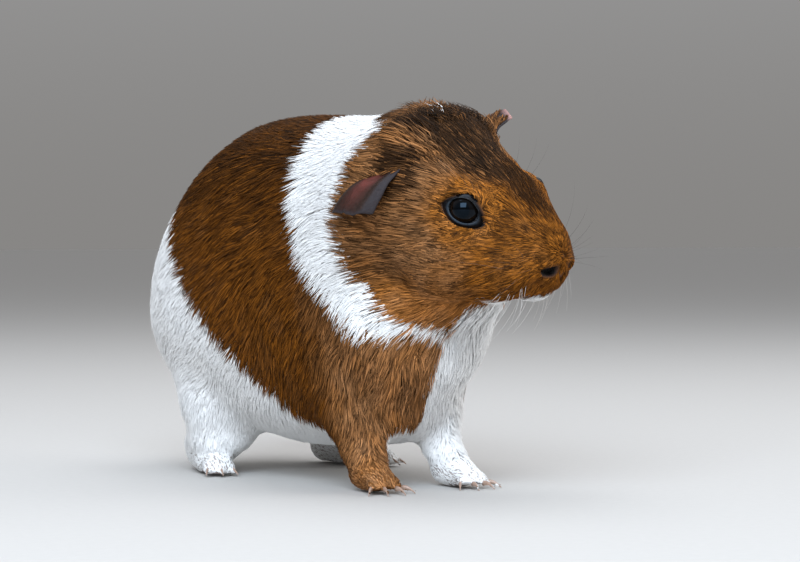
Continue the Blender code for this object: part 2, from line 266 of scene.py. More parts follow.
def egg(points, middle, radii):
    """1 on the surface of an egg-shaped zone, less inside it, for rows of points."""
    return np.linalg.norm((points - np.array(middle)) / np.array(radii), axis=1)


def unit_rows(rows):
    return rows / np.maximum(np.linalg.norm(rows, axis=1), 1e-9)[:, None]


def clock():
    return f"{time.time() - started:.1f} s"


# %% [markdown]
# A head that is turned, dipped and tilted is awkward to shape in world axes. So the head gets axes of its own:
# X runs forward to the nose, Y to its left and Z up, in millimetres, from the point midway between the eyes.
# The eyes' own solids say where that point is and which way is left.

# %% The head's own axes
def box_middle(node):
    low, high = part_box(node)
    return (low + high) / 2


HEAD_TURN = math.radians(23)  # to the animal's left
HEAD_DIP = math.radians(14)
head_left = (box_middle("eye_left") - box_middle("eye_right")).normalized()
head_forward = Vector((math.sin(HEAD_TURN), -math.cos(HEAD_TURN), -math.tan(HEAD_DIP)))
head_forward = (head_forward - head_left * head_forward.dot(head_left)).normalized()
head_up = head_forward.cross(head_left)
HEAD_AXES = np.array([head_forward, head_left, head_up])
HEAD_MIDDLE = np.array((box_middle("eye_left") + box_middle("eye_right")) / 2)


def to_head(places):
    """World metres to the head's millimetres."""
    return (np.asarray(places) - HEAD_MIDDLE) @ HEAD_AXES.T / MM


def from_head(places):
    """The head's millimetres to world metres."""
    return np.asarray(places) * MM @ HEAD_AXES + HEAD_MIDDLE


print("head faces", [round(c, 3) for c in head_forward], "eyes midway at", HEAD_MIDDLE.round(4))

# %% [markdown]
# **The skin.** On the real animal one skin runs over everything, so the separate solids of head, neck, trunk and
# legs are copied, joined, swollen a little so that they meet, and melted together by a voxel remesh. Balls fill
# the eye sockets and the ear slots first, because the eyes and ears are pieces of their own.

# %% Copy and melt the flesh
FLESH = ["head", "neck", "trunk"]
FLESH += [f"{limb}_{word}" for limb in ("foreleg", "forefoot", "hindleg", "hindfoot") for word in SIDES.values()]
SWELL = 0.3
SKIN_VOXEL = 1.2
EYE_RADIUS = 5.3
EYE_SIDE = 19.5
EYE_PLUG = (6.0, 6.0, 6.0)
EAR_PLUG = (9.5, 5.2, 6.5)
EAR_ROOTS = {1: (-26.5, 20.5, 8.2), -1: (-26.5, -20.5, 6.5)}

skin = join(*[new_object(f"skin_{name}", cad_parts[name].data.copy()) for name in FLESH])
with edit_all(skin):
    bpy.ops.mesh.remove_doubles(threshold=0.005 * MM)
apply_modifier(skin, "DISPLACE", strength=SWELL * MM, mid_level=0)

plugs = []
for side in SIDES:
    for centre, radii in (((0, EYE_SIDE * side, 0), EYE_PLUG), (EAR_ROOTS[side], EAR_PLUG)):
        bpy.ops.mesh.primitive_uv_sphere_add(segments=32, ring_count=16, radius=MM)
        plug = bpy.context.object
        set_vertices(plug, from_head(vertex_array(plug) / MM * np.array(radii) + np.array(centre)))
        plugs.append(plug)
join(*plugs, skin)
apply_modifier(skin, "REMESH", mode="VOXEL", voxel_size=SKIN_VOXEL * MM)
print("melted skin:", len(skin.data.polygons), "faces", clock())

# %% [markdown]
# The remeshed surface still shows the flat facets of the solids. A smoothing weight takes them off: strong on the
# trunk, where nothing fine is lost, and light on the face and the feet.

# %% Smooth the facets away
def face_share(places):
    """1 on the face, 0 on the body, by a soft edge behind the cheeks."""
    in_head = to_head(places)
    return smoothstep(-34, -18, in_head[:, 0]) * smoothstep(-42, -32, in_head[:, 2])


def foot_share(places):
    """1 on the feet, 0 from half the lower leg up."""
    return smoothstep(15 * MM, 9 * MM, np.asarray(places)[:, 2])


WEIGHT_STEPS = 8
EVERYWHERE, BODY_ONLY = 5, 34  # rounds of smoothing

places = vertex_array(skin)
fine = np.maximum(face_share(places), foot_share(places))
for name, weights, rounds in (("all", np.ones(len(places)), EVERYWHERE), ("body", 1 - fine, BODY_ONLY)):
    group = skin.vertex_groups.new(name=name)
    steps = np.round(weights * WEIGHT_STEPS).astype(int)
    for step in range(1, WEIGHT_STEPS + 1):
        group.add([int(i) for i in np.flatnonzero(steps == step)], step / WEIGHT_STEPS, "REPLACE")
    apply_modifier(skin, "SMOOTH", factor=0.5, iterations=rounds, vertex_group=name)
skin.vertex_groups.clear()

# %% [markdown]
# **Coat depth.** The skin lies inside the outline by the depth of the coat: about a millimetre on the snout, about
# two on the cheeks, four on the back, the flanks and the collar, and next to nothing on the feet. It is drawn in
# along its own normals.

# %% Draw the skin in by the depth of the coat
BODY_DEPTH = 3.8
COLLAR_DEPTH = 4.4
CHEEK_DEPTH = 2.4
SNOUT_DEPTH = 1.1
LEG_DEPTH = 1.6
FOOT_DEPTH = 0.35
SOLE_GAP = 0.02  # how far the soles stay above the floor


def coat_depth(places):
    """How far the hair tips stand over the skin, in millimetres."""
    places = np.asarray(places)
    face = face_share(places)
    snout = smoothstep(-14, 6, to_head(places)[:, 0])
    depth = blend(BODY_DEPTH, COLLAR_DEPTH, smoothstep(0.0, -0.03, places[:, 1]))
    depth = blend(depth, CHEEK_DEPTH, face)
    depth = depth + (SNOUT_DEPTH - depth) * face * snout
    depth = blend(depth, LEG_DEPTH, smoothstep(0.034, 0.014, places[:, 2]))
    return blend(depth, FOOT_DEPTH, foot_share(places))


def skin_normals():
    return rows_of(skin.data.vertices, "normal")


places = vertex_array(skin)
places = places - skin_normals() * ((coat_depth(places) + SWELL) * MM)[:, None]
places[:, 2] = np.maximum(places[:, 2], SOLE_GAP * MM)
set_vertices(skin, places)
apply_modifier(skin, "SMOOTH", factor=0.5, iterations=3)
print("skin drawn in; its box is", vertex_array(skin).min(0).round(4), vertex_array(skin).max(0).round(4))

# %% [markdown]
# **Trimming.** Under the hair the brow is flatter than the outline of the coat, and the lip and the chin are thinner.
# Each place is an egg-shaped zone, given by its middle and its radii, inside which the skin sinks by so many
# millimetres, most in the middle. The two sides of the head are trimmed alike. The left elbow is drawn in more than
# the right, as that leg bears less weight.

# %% Trim the crown, the chin, the nose, the brow, the lip and the elbows
HEAD_TRIMS = [
    ((-29, 0, 21), (14, 17, 9), 1.6),  # crown
    ((17, 0, -26.5), (9, 8, 6), 0.9),  # chin
    ((27.5, 0, -24), (6, 9, 6), 3.4),  # under the nose
]
for side in SIDES:
    HEAD_TRIMS += [
        ((-4, 12 * side, 12), (17, 10, 9), 3.8),  # brow
        ((3, 20 * side, 5), (13, 9, 10), 3.6),  # over the eye
        ((2, 15 * side, 9), (10, 7, 6), 2.0),
        ((23.5, 8.5 * side, -21), (6.5, 6.5, 6.5), 3.0),  # lip
    ]
BODY_TRIMS = [((25, -36, 27), (15, 15, 26), 4.2), ((-25, -36, 27), (15, 15, 26), 1.8)]


def trimmed(points, normals, trims):
    for middle, radii, sink in trims:
        points = points - normals * (sink * smoothstep(1.0, 0.15, egg(points, middle, radii)))[:, None]
    return points


places = to_head(vertex_array(skin))
places = from_head(trimmed(places, skin_normals() @ HEAD_AXES.T, HEAD_TRIMS))
places = trimmed(places / MM, skin_normals(), BODY_TRIMS) * MM
set_vertices(skin, places)
apply_modifier(skin, "SMOOTH", factor=0.5, iterations=3)
print("trimmed", len(HEAD_TRIMS) + len(BODY_TRIMS), "places")

# %% [markdown]
# **A finer net where the face needs it.** Lids, nostrils and lips are folds of a millimetre or less. The net is
# therefore halved twice round the eyes and the nose, and once over the rest of the muzzle, before it is shaped.

# %% Halve the net round the eyes, the nose and the mouth
def refine(where):
    """Subdivides the skin's faces whose middles, in the head's millimetres, the test picks."""
    mesh = skin.data
    chosen = where(to_head(rows_of(mesh.polygons, "center")))
    mesh.vertices.foreach_set("select", np.zeros(len(mesh.vertices), bool))
    mesh.edges.foreach_set("select", np.zeros(len(mesh.edges), bool))
    mesh.polygons.foreach_set("select", chosen)
    make_active(skin)
    bpy.ops.object.mode_set(mode="EDIT")
    bpy.ops.mesh.select_mode(type="FACE")
    bpy.ops.mesh.subdivide(number_cuts=1, smoothness=0)
    bpy.ops.object.mode_set(mode="OBJECT")


def from_eye(points):
    """Distance to the nearer eye's middle."""
    folded = np.column_stack([points[:, 0], np.abs(points[:, 1]) - EYE_SIDE + 1, points[:, 2]])
    return np.linalg.norm(folded, axis=1)


refine(lambda p: (from_eye(p) < 11) | (p[:, 0] > 11))
refine(lambda p: (from_eye(p) < 8.5) | (p[:, 0] > 20.5))
apply_modifier(skin, "SMOOTH", factor=0.5, iterations=2)
print("refined skin:", len(skin.data.polygons), "faces")

# %% [markdown]
# **Lids.** A guinea pig's eye sits in an almond of naked, blue-grey skin whose front corner is low and whose rear
# corner is high. Each eye gets axes of its own: along the line through its corners, outward, and up. The skin is
# raised to a mound that hugs the ball, and pushed out of sight behind the ball inside the opening.

# %% Shape the skin round the eyes
LID_TOP = 5.35  # how far the lid's surface stands out at the middle of the eye
LID_FALL = 0.092  # how fast it falls away from there
LID_UNDER = 0.35  # how far the skin lies under the naked rim
LID_LEAST = 0.4
OPENING = dict(middle=(0.3, -0.5), front=5.0, rear=4.8, top=4.15, bottom=3.1, power=1.95)
RIM = dict(middle=(0.2, -1.9), front=6.9, rear=6.5, top=5.9, bottom=3.2, power=1.5)
MOUND_REACH = 1.5


def eye_axes(side):
    """The eye's own axes in the head's: to the front corner, outward, up."""
    outward = Vector((0.38, 0.91 * side, 0.15)).normalized()
    along = Vector((0.855, -0.29 * side, -0.32))
    along = (along - outward * along.dot(outward)).normalized()
    up = along.cross(outward) if side == -1 else outward.cross(along)
    return np.array([along, outward, -up if up.z < 0 else up])


def almond_reach(shape, x, z):
    """How far out a point of the eye's plane is: 1 on the almond's edge, less inside."""
    x = x - shape["middle"][0]
    z = z - shape["middle"][1]
    half_x = np.where(x > 0, shape["front"], shape["rear"])
    half_z = np.where(z > 0, shape["top"], shape["bottom"])
    power = shape["power"]
    return (np.abs(x / half_x) ** power + np.abs(z / half_z) ** power) ** (1 / power)


def almond_point(shape, turn):
    """The point of the almond's edge at this turn: 0 at the front corner, a quarter turn at the top."""
    c, s = math.cos(turn), math.sin(turn)
    x = math.copysign(abs(c) ** (2 / shape["power"]), c) * shape["front" if c > 0 else "rear"]
    z = math.copysign(abs(s) ** (2 / shape["power"]), s) * shape["top" if s > 0 else "bottom"]
    return x + shape["middle"][0], z + shape["middle"][1]


def lid_height(x, z):
    """How far the lid's surface stands out from the middle of the eye."""
    return LID_TOP - LID_FALL * (x * x + z * z)


EYE_SINK = 2.6  # how much deeper the eyes lie than the balls that filled the sockets
EYE_BACK = 1.1
EYE_MIDDLES = {side: np.array((-EYE_BACK, (EYE_SIDE - EYE_SINK) * side, 0)) for side in SIDES}
EYE_ZONE = 10  # no lid lies further than this from the middle of its eye
RIM_GROOVE = 0.3
BEHIND_BALL = 2.2  # where the skin inside the opening lies, out of sight


def in_eye(points, side):
    """The head's millimetres as the eye's own: along, outward, up."""
    return (points - EYE_MIDDLES[side]) @ eye_axes(side).T


def rim_reach(points, side):
    """1 on the outer edge of an eye's naked rim, less inside it, and far more away from that eye."""
    local = in_eye(points, side)
    reach = almond_reach(RIM, local[:, 0], local[:, 2])
    return np.where(np.linalg.norm(local, axis=1) < EYE_ZONE, reach, 9)


places = to_head(vertex_array(skin))
for side in SIDES:
    local = in_eye(places, side)
    x, out, z = local.T
    near = (np.hypot(x, z) < 14) & (out > -4)
    reach = almond_reach(RIM, x, z)
    weight = 1 - smoothstep(0.95, MOUND_REACH, reach)
    raised = blend(out, np.maximum(lid_height(x, z) - LID_UNDER, LID_LEAST), weight)
    raised -= RIM_GROOVE * np.exp(-(((reach - 1.16) / 0.07) ** 2))
    raised = blend(raised, BEHIND_BALL, smoothstep(1.05, 0.85, almond_reach(OPENING, x, z)))
    print(f"eye {side}: skin stood at", round(float(out[near & (np.abs(reach - 1.0) < 0.1)].mean()), 2))
    local[:, 1] = np.where(near, raised, out)
    places = np.where(near[:, None], local @ eye_axes(side) + EYE_MIDDLES[side], places)

# %% [markdown]
# **Nose and mouth.** The nostrils are comma-shaped slits in a pad of moist skin, the groove under them runs down
# to the split lip, and the mouth is a short line far back under the muzzle. All are pressed into the skin by
# moving its points inward along the surface.

# %% Press in the nostrils, the groove and the mouth
NOSTRIL_MIDDLE = (25.6, 5.7, -15.2)
NOSTRIL_HALF = 3.7
NOSTRIL_DEPTH = 2.3
GROOVE_DEPTH = 0.9
MOUTH_DEPTH = 1.1
NOSE_FROM = 19  # nostrils and groove lie in front of this


def nostril_share(points):
    """1 in the middle of a nostril, 0 outside it, for points in the head's millimetres."""
    folded = np.column_stack([points[:, 0], np.abs(points[:, 1]), points[:, 2]]) - np.array(NOSTRIL_MIDDLE)
    outer = np.array((-0.36, 0.92, 0.1))
    outer = outer / np.linalg.norm(outer)
    across = folded @ outer / NOSTRIL_HALF
    rise = folded[:, 2]
    floor = -1.9 * np.clip(1 - across**2, 0, 1) ** 0.6 + 0.35 * across
    share = smoothstep(1.0, 0.72, np.abs(across))
    share = share * smoothstep(1.15, 0.45, rise) * smoothstep(-0.75, 0.15, rise - floor)
    return share * (points[:, 0] > NOSE_FROM)


def groove_share(points):
    """1 along the groove from the nose down to the lips."""
    share = np.exp(-((points[:, 1] / 0.55) ** 2)) * smoothstep(-25.0, -23, points[:, 2])
    return share * smoothstep(-15.5, -17.5, points[:, 2]) * (points[:, 0] > NOSE_FROM)


def mouth_share(points):
    """1 along the line of the lips, under the muzzle."""
    line = -23.4 - 0.02 * points[:, 1] ** 2
    along = smoothstep(9.5, 8, np.abs(points[:, 1])) * smoothstep(8, 11, points[:, 0])
    return along * np.exp(-(((points[:, 2] - line) / 0.65) ** 2))


press = NOSTRIL_DEPTH * nostril_share(places) + GROOVE_DEPTH * groove_share(places)
press = press + MOUTH_DEPTH * mouth_share(places)
places = places - (skin_normals() @ HEAD_AXES.T) * press[:, None]
set_vertices(skin, from_head(places))
apply_modifier(skin, "SMOOTH", factor=0.35, iterations=1)
print("sculpted skin:", vertex_array(skin).min(0).round(4), vertex_array(skin).max(0).round(4))

# %% [markdown]
# **An unwrap of the skin.** Every lock takes its place on the colour map from where its root stands on the skin,
# so the skin is unwrapped first, by Smart Project, which cuts a closed body into islands by itself.

# %% Unwrap the skin
with edit_all(skin):
    bpy.ops.mesh.quads_convert_to_tris(quad_method="BEAUTY", ngon_method="BEAUTY")
    bpy.ops.uv.smart_project(angle_limit=math.radians(66), island_margin=0.002)
skin.data.uv_layers[0].name = "OFBake"
print("unwrapped:", len(skin.data.polygons), "triangles", clock())

# %% [markdown]
# ## The markings
# The coat has three colours: white in a collar, on the chest and on the rump, an orange brown ticked with black
# over the saddle and the head, and a dark stripe from the crown to the nose. One function says what grows where.
# Skin and locks both ask it, so the colours agree on both. Distances are in millimetres, and a positive distance
# means white.

# %% Where each colour grows
def value_noise(points, scale, offset=0.0):
    """Smooth noise from about -1 to 1, at a grain of so many millimetres, for rows of points in millimetres."""
    shifted = np.asarray(points, float) / scale + offset
    return np.array([noise.noise(Vector(p)) for p in shifted])


def head_oval(world):
    """1 on the oval in which the head's brown ends behind the cheeks, less inside it."""
    hx, hy, hz = to_head(world).T
    length = np.where(hx < -6, 37.2, 35.0)
    height = np.where(hz < -4, 38.6, 37.6)
    return np.sqrt(((hx + 6) / length) ** 2 + ((hz + 4) / height) ** 2)


def markings(world):
    """For rows of world metres: white distance, dark share and orange share."""
    x, y, z = (np.asarray(world) / MM).T
    hx, hy, hz = to_head(world).T
    # the brown of the head ends in an oval behind the cheeks, and below them in a line that rises to the chin
    oval = head_oval(world)
    head = smoothstep(1.04, 0.96, oval)
    off_head = (oval - 1) * 36 - 1.2 - 15 * smoothstep(12, 22, hz) * smoothstep(-17, -4, hy)
    jaw_line = np.where(hx > -6, np.interp(hx, [-6, 8, 24], [-39.5, -27.9, -24.9]), -60)
    off_head = np.maximum(off_head, jaw_line - hz)
    # the collar ends behind in a slanting edge, and on the right shoulder it stops above the brown chest
    collar_rear = -4.8 - 0.54 * (117.6 - z) + 2.5 * np.sin(np.pi * np.clip((117.6 - z) / 67, 0, 1))
    collar_rear = collar_rear + 0.45 * np.maximum(x - 4, 0)
    left_rear = np.maximum(collar_rear, -33 + 0.12 * z)
    collar_rear = collar_rear + (left_rear - collar_rear) * smoothstep(-2, 3, x) * smoothstep(62, 50, z)
    collar = np.minimum(collar_rear - y, off_head)
    chest_right = np.maximum(z - 49.0, (x + 1.0) * 1.2)
    collar = np.minimum(collar, np.where(y < -20, chest_right, 50))
    # the rump and the hind legs are white behind a line that climbs from the belly to the tail end
    rump = ((y - 0.1) * 0.962 + 30.2 - z) * 0.72
    belly = np.minimum(22 - z, 17 - np.abs(x)) * np.where(y > -38, 1, 0) - np.where(y > -38, 0, 30)
    white = np.maximum.reduce([collar, rump, belly])
    # the left forefoot is white, the right one brown
    white = np.where((z < 13) & (x > 0) & (y < -30), np.maximum(white, 3), white)
    # the dark stripe over the forehead, wide at the crown and narrow on the nose
    stripe_half = np.interp(hx, [-34, -22, -8, 8, 20, 26], [19, 18, 11.5, 7.5, 5.0, 3.0])
    stripe = smoothstep(stripe_half + 5.0, stripe_half - 3.5, np.abs(hy))
    stripe = stripe * smoothstep(-14, -4, hz + 0.6 * np.maximum(hx, 0))
    stripe = stripe * smoothstep(28, 12, hx) * head
    # orange is strongest round the eyes, on the muzzle, on the low cheek and on the brown side of the chest
    near_eye = from_eye(np.column_stack([hx, hy, hz]))
    muzzle = smoothstep(4, 14, hx) * smoothstep(1.0, 0.9, oval)
    low_cheek = smoothstep(-23, -32, hz) * smoothstep(-34, -22, hx)
    chest = smoothstep(60, 42, z) * smoothstep(-22, -36, y) * 0.6
    orange = np.maximum.reduce([smoothstep(16, 8, near_eye), 0.45 * muzzle, low_cheek, chest])
    orange = orange * (1 - 0.7 * stripe) * smoothstep(1.15, 1.0, np.where(y < -30, 1.0, oval))
    orange = np.maximum(orange, 0.38 * head * (1 - stripe))
    # dark hair is thickest in the stripe, round the ears and along the back; round the ears the darkening also stands
    # for painted shade under the ear
    ear = np.linalg.norm(np.column_stack([hx + 25, np.abs(hy) - 22, (hz - 6) * 0.8]), axis=1)
    cheek = smoothstep(2, -14, hx) * head * smoothstep(-36, -24, hz)
    dark = np.maximum.reduce([
        0.76 * stripe,
        # round the ear roots: dark hair, and painted shade under the ears
        smoothstep(13, 6, ear) * 0.72,
        smoothstep(1.0, 1.1, oval) * (0.30 + 0.38 * smoothstep(60, 112, z)),
        0.33 * cheek * (1 - 0.8 * smoothstep(14, 8, near_eye)),
        head * (0.30 - 0.12 * low_cheek + 0.18 * smoothstep(15, 8, near_eye) + 0.11 * muzzle),
    ])
    return white, np.clip(dark, 0, 1), np.clip(orange, 0, 1)

# %% [markdown]
# The markings are stored on the skin as a colour attribute: red for white hair, green for dark, blue for orange.
# Three more attributes hold the naked places, the nostrils, and the rims of the lids.

# %% Paint the skin
def lid_share(points):
    """1 on the naked rims of the lids, for points in the head's millimetres."""
    return np.maximum(*[smoothstep(1.2, 1.05, rim_reach(points, side)) for side in SIDES])


def naked_share(world):
    """Where no coat grows: 1 on the nose pad, on the rims of the lids, in the mouth and under the feet."""
    points = to_head(world)
    pad = smoothstep(1.1, 0.8, egg(points, (27.2, 0, -17.6), (3.0, 2.4, 3.2)))
    sole = smoothstep(1.6 * MM, 0.6 * MM, np.asarray(world)[:, 2])
    return np.maximum.reduce([nostril_share(points), pad, lid_share(points), mouth_share(points) * 0.9, sole])


BORDER_GRAIN = 3.0  # millimetres from one bay of a border to the next
BORDER_SWAY = 1.5

skin_places = vertex_array(skin)
white, dark, orange = markings(skin_places)
edge = value_noise(skin_places / MM, BORDER_GRAIN) * BORDER_SWAY
white_share = smoothstep(-1.5, 1.5, white + edge)
skin_marks = np.column_stack([white_share, dark, orange, np.ones(len(white))])
store(skin, "coat_marks", "FLOAT_COLOR", skin_marks)
store(skin, "naked", "FLOAT", naked_share(skin_places))
store(skin, "nostril", "FLOAT", nostril_share(to_head(skin_places)))
store(skin, "lid", "FLOAT", lid_share(to_head(skin_places)))
print("white share of the skin:", round(float(white_share.mean()), 2), clock())

# %% [markdown]
# **The skin's material.** Under a short coat the skin is pale where the hair is white, and grey brown where it is
# dark. What shows of it between the locks reads as the shadowed foot of the hair, so it takes the coat's colours,
# darker, with fine streaks as a bump. The nose pad, the lips and the soles stay naked and a little moist.

# %% Skin material
SKIN_STREAK = 1.2  # the grain of the streaks, in millimetres
SKIN_PORE = 0.35  # from one pore of the nose pad to the next
skin_material, tree = new_material("living_skin_under_short_coat")
where = own_place(tree)
is_white, is_dark, is_orange = split_colour(tree, attribute(tree, "coat_marks")["Color"])
bare = attribute(tree, "naked")["Fac"]
streaks = noise_map(tree, where, SKIN_STREAK, Detail=3.0, Roughness=0.6)
pores = add_node(tree, "TexVoronoi", {"Vector": where, "Scale": 1 / (SKIN_PORE * MM)}).outputs["Distance"]
tone = mixed(tree, is_dark, "#6b3f1c", "#2a1a10")
tone = mixed(tree, is_orange, tone, "#8a5626")
tone = mixed(tree, is_white, tone, "#c9bcb6")
tone = mixed(tree, 1.0, tone, stretched(tree, streaks, 0.3, 0.7, 0.55, 1.0), blend_type="MULTIPLY")
tone = mixed(tree, bare, tone, mixed(tree, pores, "#6e5044", "#4a342b"))
tone = mixed(tree, attribute(tree, "lid")["Fac"], tone, "#0b0c0f")
# the nostrils are nearly black: dark skin, and painted shade inside the opening
tone = mixed(tree, attribute(tree, "nostril")["Fac"], tone, "#050303")
close_material(tree, {
    "Base Color": tone,
    "Roughness": stretched(tree, bare, 0.0, 1.0, 0.85, 0.42),
    "Normal": bump(tree, mixed_value(tree, bare, streaks, pores), 0.6, 0.3),
    "Specular IOR Level": 0.2,
    "Subsurface Weight": 0.06,
    "Subsurface Radius": (0.002, 0.0008, 0.0005),
    "Subsurface Scale": 1.0,
})
complete(skin, "skin", skin_material, FLESH)

# %% [markdown]
# ## Eyes
# A guinea pig's eye is a dark ball with hardly any white to see, bulging a little at the cornea, wet and glossy.
# A sphere primitive is turned so that its pole looks outward, and the points near that pole are pulled out into the
# cornea. The iris is a very dark brown ring that only strong light shows, so it is painted by the distance from
# the pole, kept in an attribute.

# %% Eyes
CORNEA_BULGE = 0.45
eye_material, tree = new_material("wet_dark_eye")
pole_turn = attribute(tree, "from_pole")["Fac"]
iris = stretched(tree, pole_turn, 0.42, 0.52, bend="SMOOTHSTEP")
limbus = stretched(tree, pole_turn, 0.95, 1.12, bend="SMOOTHSTEP")
close_material(tree, {
    "Base Color": mixed(tree, limbus, mixed(tree, iris, "#020203", "#0b0705"), "#060608"),
    "Roughness": 0.05,
    "IOR": 1.376,
    "Specular IOR Level": 0.27,
    "Specular Tint": "#b8dcff",
})
for side, word in SIDES.items():
    bpy.ops.mesh.primitive_uv_sphere_add(segments=64, ring_count=40, radius=1)
    ball = bpy.context.object
    unit = vertex_array(ball)
    from_pole = np.arccos(np.clip(unit[:, 2], -1, 1))
    grown = EYE_RADIUS - 0.1 + CORNEA_BULGE * np.cos(np.clip(from_pole / 0.95, 0, 1) * math.pi / 2) ** 1.5
    along, outward, up = eye_axes(side)
    turned = unit * grown[:, None] @ np.array([along, up, outward])
    set_vertices(ball, from_head(turned + EYE_MIDDLES[side]))
    face_outward(ball)
    store(ball, "from_pole", "FLOAT", from_pole)
    complete(ball, f"eyeball_{word}", eye_material, [f"eye_{word}"])

# %% [markdown]
# ** Lid rims.** The naked rim is a dark blue-grey cushion that lies on the ball, thin above and thicker below and
# behind. A paler line, broken by the wrinkles, runs where it meets the ball, mostly below: it is a painted highlight
# of the wet edge. A torus primitive is laid into that shape: each point keeps its two turns, and they say how far it
# is across the rim and how high it stands on it.

# %% Lid rims
RIM_THICK = 0.62
RIM_SUNK = 0.22  # how deep the rim's middle line lies in the lid
RIM_STEPS, RIM_ROUND = 96, 16
LID_WRINKLE = 0.5  # from one wrinkle to the next, in millimetres
lid_material, tree = new_material("moist_blue_grey_lid")
wrinkle = noise_map(tree, own_place(tree), LID_WRINKLE, Detail=2.0)
# the paler line along the ball is a painted highlight of the wet lid edge, broken by the wrinkles
glint_line = stretched(tree, attribute(tree, "across_rim")["Fac"], 0.48, 0.20, bend="SMOOTHSTEP")
glint_share = reckoned(tree, "MULTIPLY", glint_line, stretched(tree, wrinkle, 0.35, 0.6, 0.35, 1.0))
close_material(tree, {
    "Base Color": mixed(tree, glint_share, mixed(tree, wrinkle, "#07080a", "#12161b"), "#26303a"),
    "Roughness": 0.42,
    "Normal": bump(tree, wrinkle, 0.6, 0.16),
    "Specular IOR Level": 0.18,
    "Coat Weight": 0.03,
    "Coat Roughness": 0.25,
})
for side, word in SIDES.items():
    bpy.ops.mesh.primitive_torus_add(major_segments=RIM_STEPS, minor_segments=RIM_ROUND,
                                     major_radius=2, minor_radius=0.5)
    rim = bpy.context.object
    laid, across_rim = [], []
    for x, y, z in vertex_array(rim):
        turn = math.atan2(y, x)
        lean = math.atan2(z, math.hypot(x, y) - 2)
        across = (1 + math.cos(lean)) / 2
        share = across * 1.1 - 0.02
        along, up = (blend(a, b, share) for a, b in zip(almond_point(OPENING, turn), almond_point(RIM, turn)))
        stand = math.sin(lean) * RIM_THICK * (0.55 + 0.45 * math.sin(math.pi * across))
        laid.append((along, lid_height(along, up) + stand - RIM_SUNK, up))
        # raised on the upper lid, so that the painted highlight of the wet edge lies mostly below
        across_rim.append(across + 0.28 * max(0, math.sin(turn + 0.4)))
    set_vertices(rim, from_head(np.array(laid) @ eye_axes(side) + EYE_MIDDLES[side]))
    face_outward(rim)
    store(rim, "across_rim", "FLOAT", across_rim)
    complete(rim, f"lid_rim_{word}", lid_material)

# %% [markdown]
# ## Ears
# The ears are thin petals of leathery skin, nearly naked. The left one stands out, the right one droops, and both
# have a rolled front rim and a wavy lower edge. A grid primitive is laid over the petal's form, thickened, and
# subdivided. Its place across and out is kept for the colours: dark leather, darker in its creases as painted shade,
# pink inside, a grey painted highlight along the front rim and the outer edge, and a pink tip on the left ear.

# %% Ears
# The corners of each sheet: front and rear of its root, then front and rear of its outer edge. Y points outward.
EARS = {
    1: [(-16, 19.4, 10.1), (-30, 22.5, 8), (-19.8, 30.8, 19.4), (-31.5, 33.8, 15.3)],
    -1: [(-20.0, 20.0, 9.3), (-33, 24, 2.5), (-24.0, 36.0, -4.8), (-39.0, 35.0, -7.0)],
}
EAR_CAMBER = 3.2
EAR_ROOT_REACH = 0.32
EAR_THICK = 0.75
EAR_CREASE = 1.1  # the grain of the leather, in millimetres
EAR_VEIN = 5.0  # the grain of the pink patches


def ear_point(corners, across, out):
    """A point of the ear's sheet: across from its front edge to its rear edge, out from its root to its rim."""
    root_front, root_rear, tip_front, tip_rear = (Vector(corner) for corner in corners)
    root = root_front.lerp(root_rear, across)
    rim = tip_front.lerp(tip_rear, across)
    along = (root_rear - root_front).normalized()
    lift = (rim - root).cross(along).normalized()
    petal = 1.0 + 0.10 * math.sin(math.pi * min(across * 1.5, 1)) - 0.03 * math.sin(math.pi * across)
    corner = 1 - 0.07 * max(0, abs(2 * across - 1) - 0.7) / 0.3
    point = root.lerp(rim, out * petal * corner)
    belly = math.sin(math.pi * (0.15 + 0.75 * out)) * EAR_CAMBER
    roll = -2.6 * (1 - across) ** 6 * out - 3.0 * across**5 * out
    fold, hollow = (math.exp(-(((across - middle) / 0.07) ** 2)) for middle in (0.12, 0.27))
    roll += (1.1 * fold - 0.9 * hollow) * out
    wave = 0.9 * math.sin(2.2 * math.pi * across) * out**2
    crinkle = 0.3 * math.sin(7 * math.pi * across + 2.0) * out**2 + 0.12 * math.sin(5 * math.pi * out) * (1 - across)
    narrowing = (0.5 - across) * 1.5 * math.cos(math.pi * min(out * 1.1, 1))
    return point + lift * (belly + roll + wave + crinkle) + along * narrowing


ear_material, tree = new_material("thin_leathery_ear")
where = own_place(tree)
is_rim_glint, is_tip, is_inside = split_colour(tree, attribute(tree, "ear_spot")["Color"])
fine = noise_map(tree, where, EAR_CREASE, Detail=4.0, Roughness=0.65)
veins = noise_map(tree, where, EAR_VEIN, Detail=2.0, Distortion=1.6)
veined = reckoned(tree, "MULTIPLY", reckoned(tree, "MULTIPLY", is_inside, veins), 1.9, use_clamp=True)
# the leather is darker where the crease bump is low: leather mottling, and painted shade in the creases
tone = mixed(tree, fine, "#0e0807", "#37251d")
tone = mixed(tree, veined, tone, "#5c2d27")
# grey along the front rim and the outer edge: a painted highlight of the rolled rim
tone = mixed(tree, is_rim_glint, tone, "#332e30")
tone = mixed(tree, is_tip, tone, "#c99a93")
close_material(tree, {
    "Base Color": tone,
    "Roughness": 0.55,
    "Normal": bump(tree, fine, 0.8, 0.4),
    "Specular IOR Level": 0.1,
    "Subsurface Weight": 0.05,
    "Subsurface Radius": (0.0015, 0.0006, 0.0004),
    "Subsurface Scale": 1.0,
})
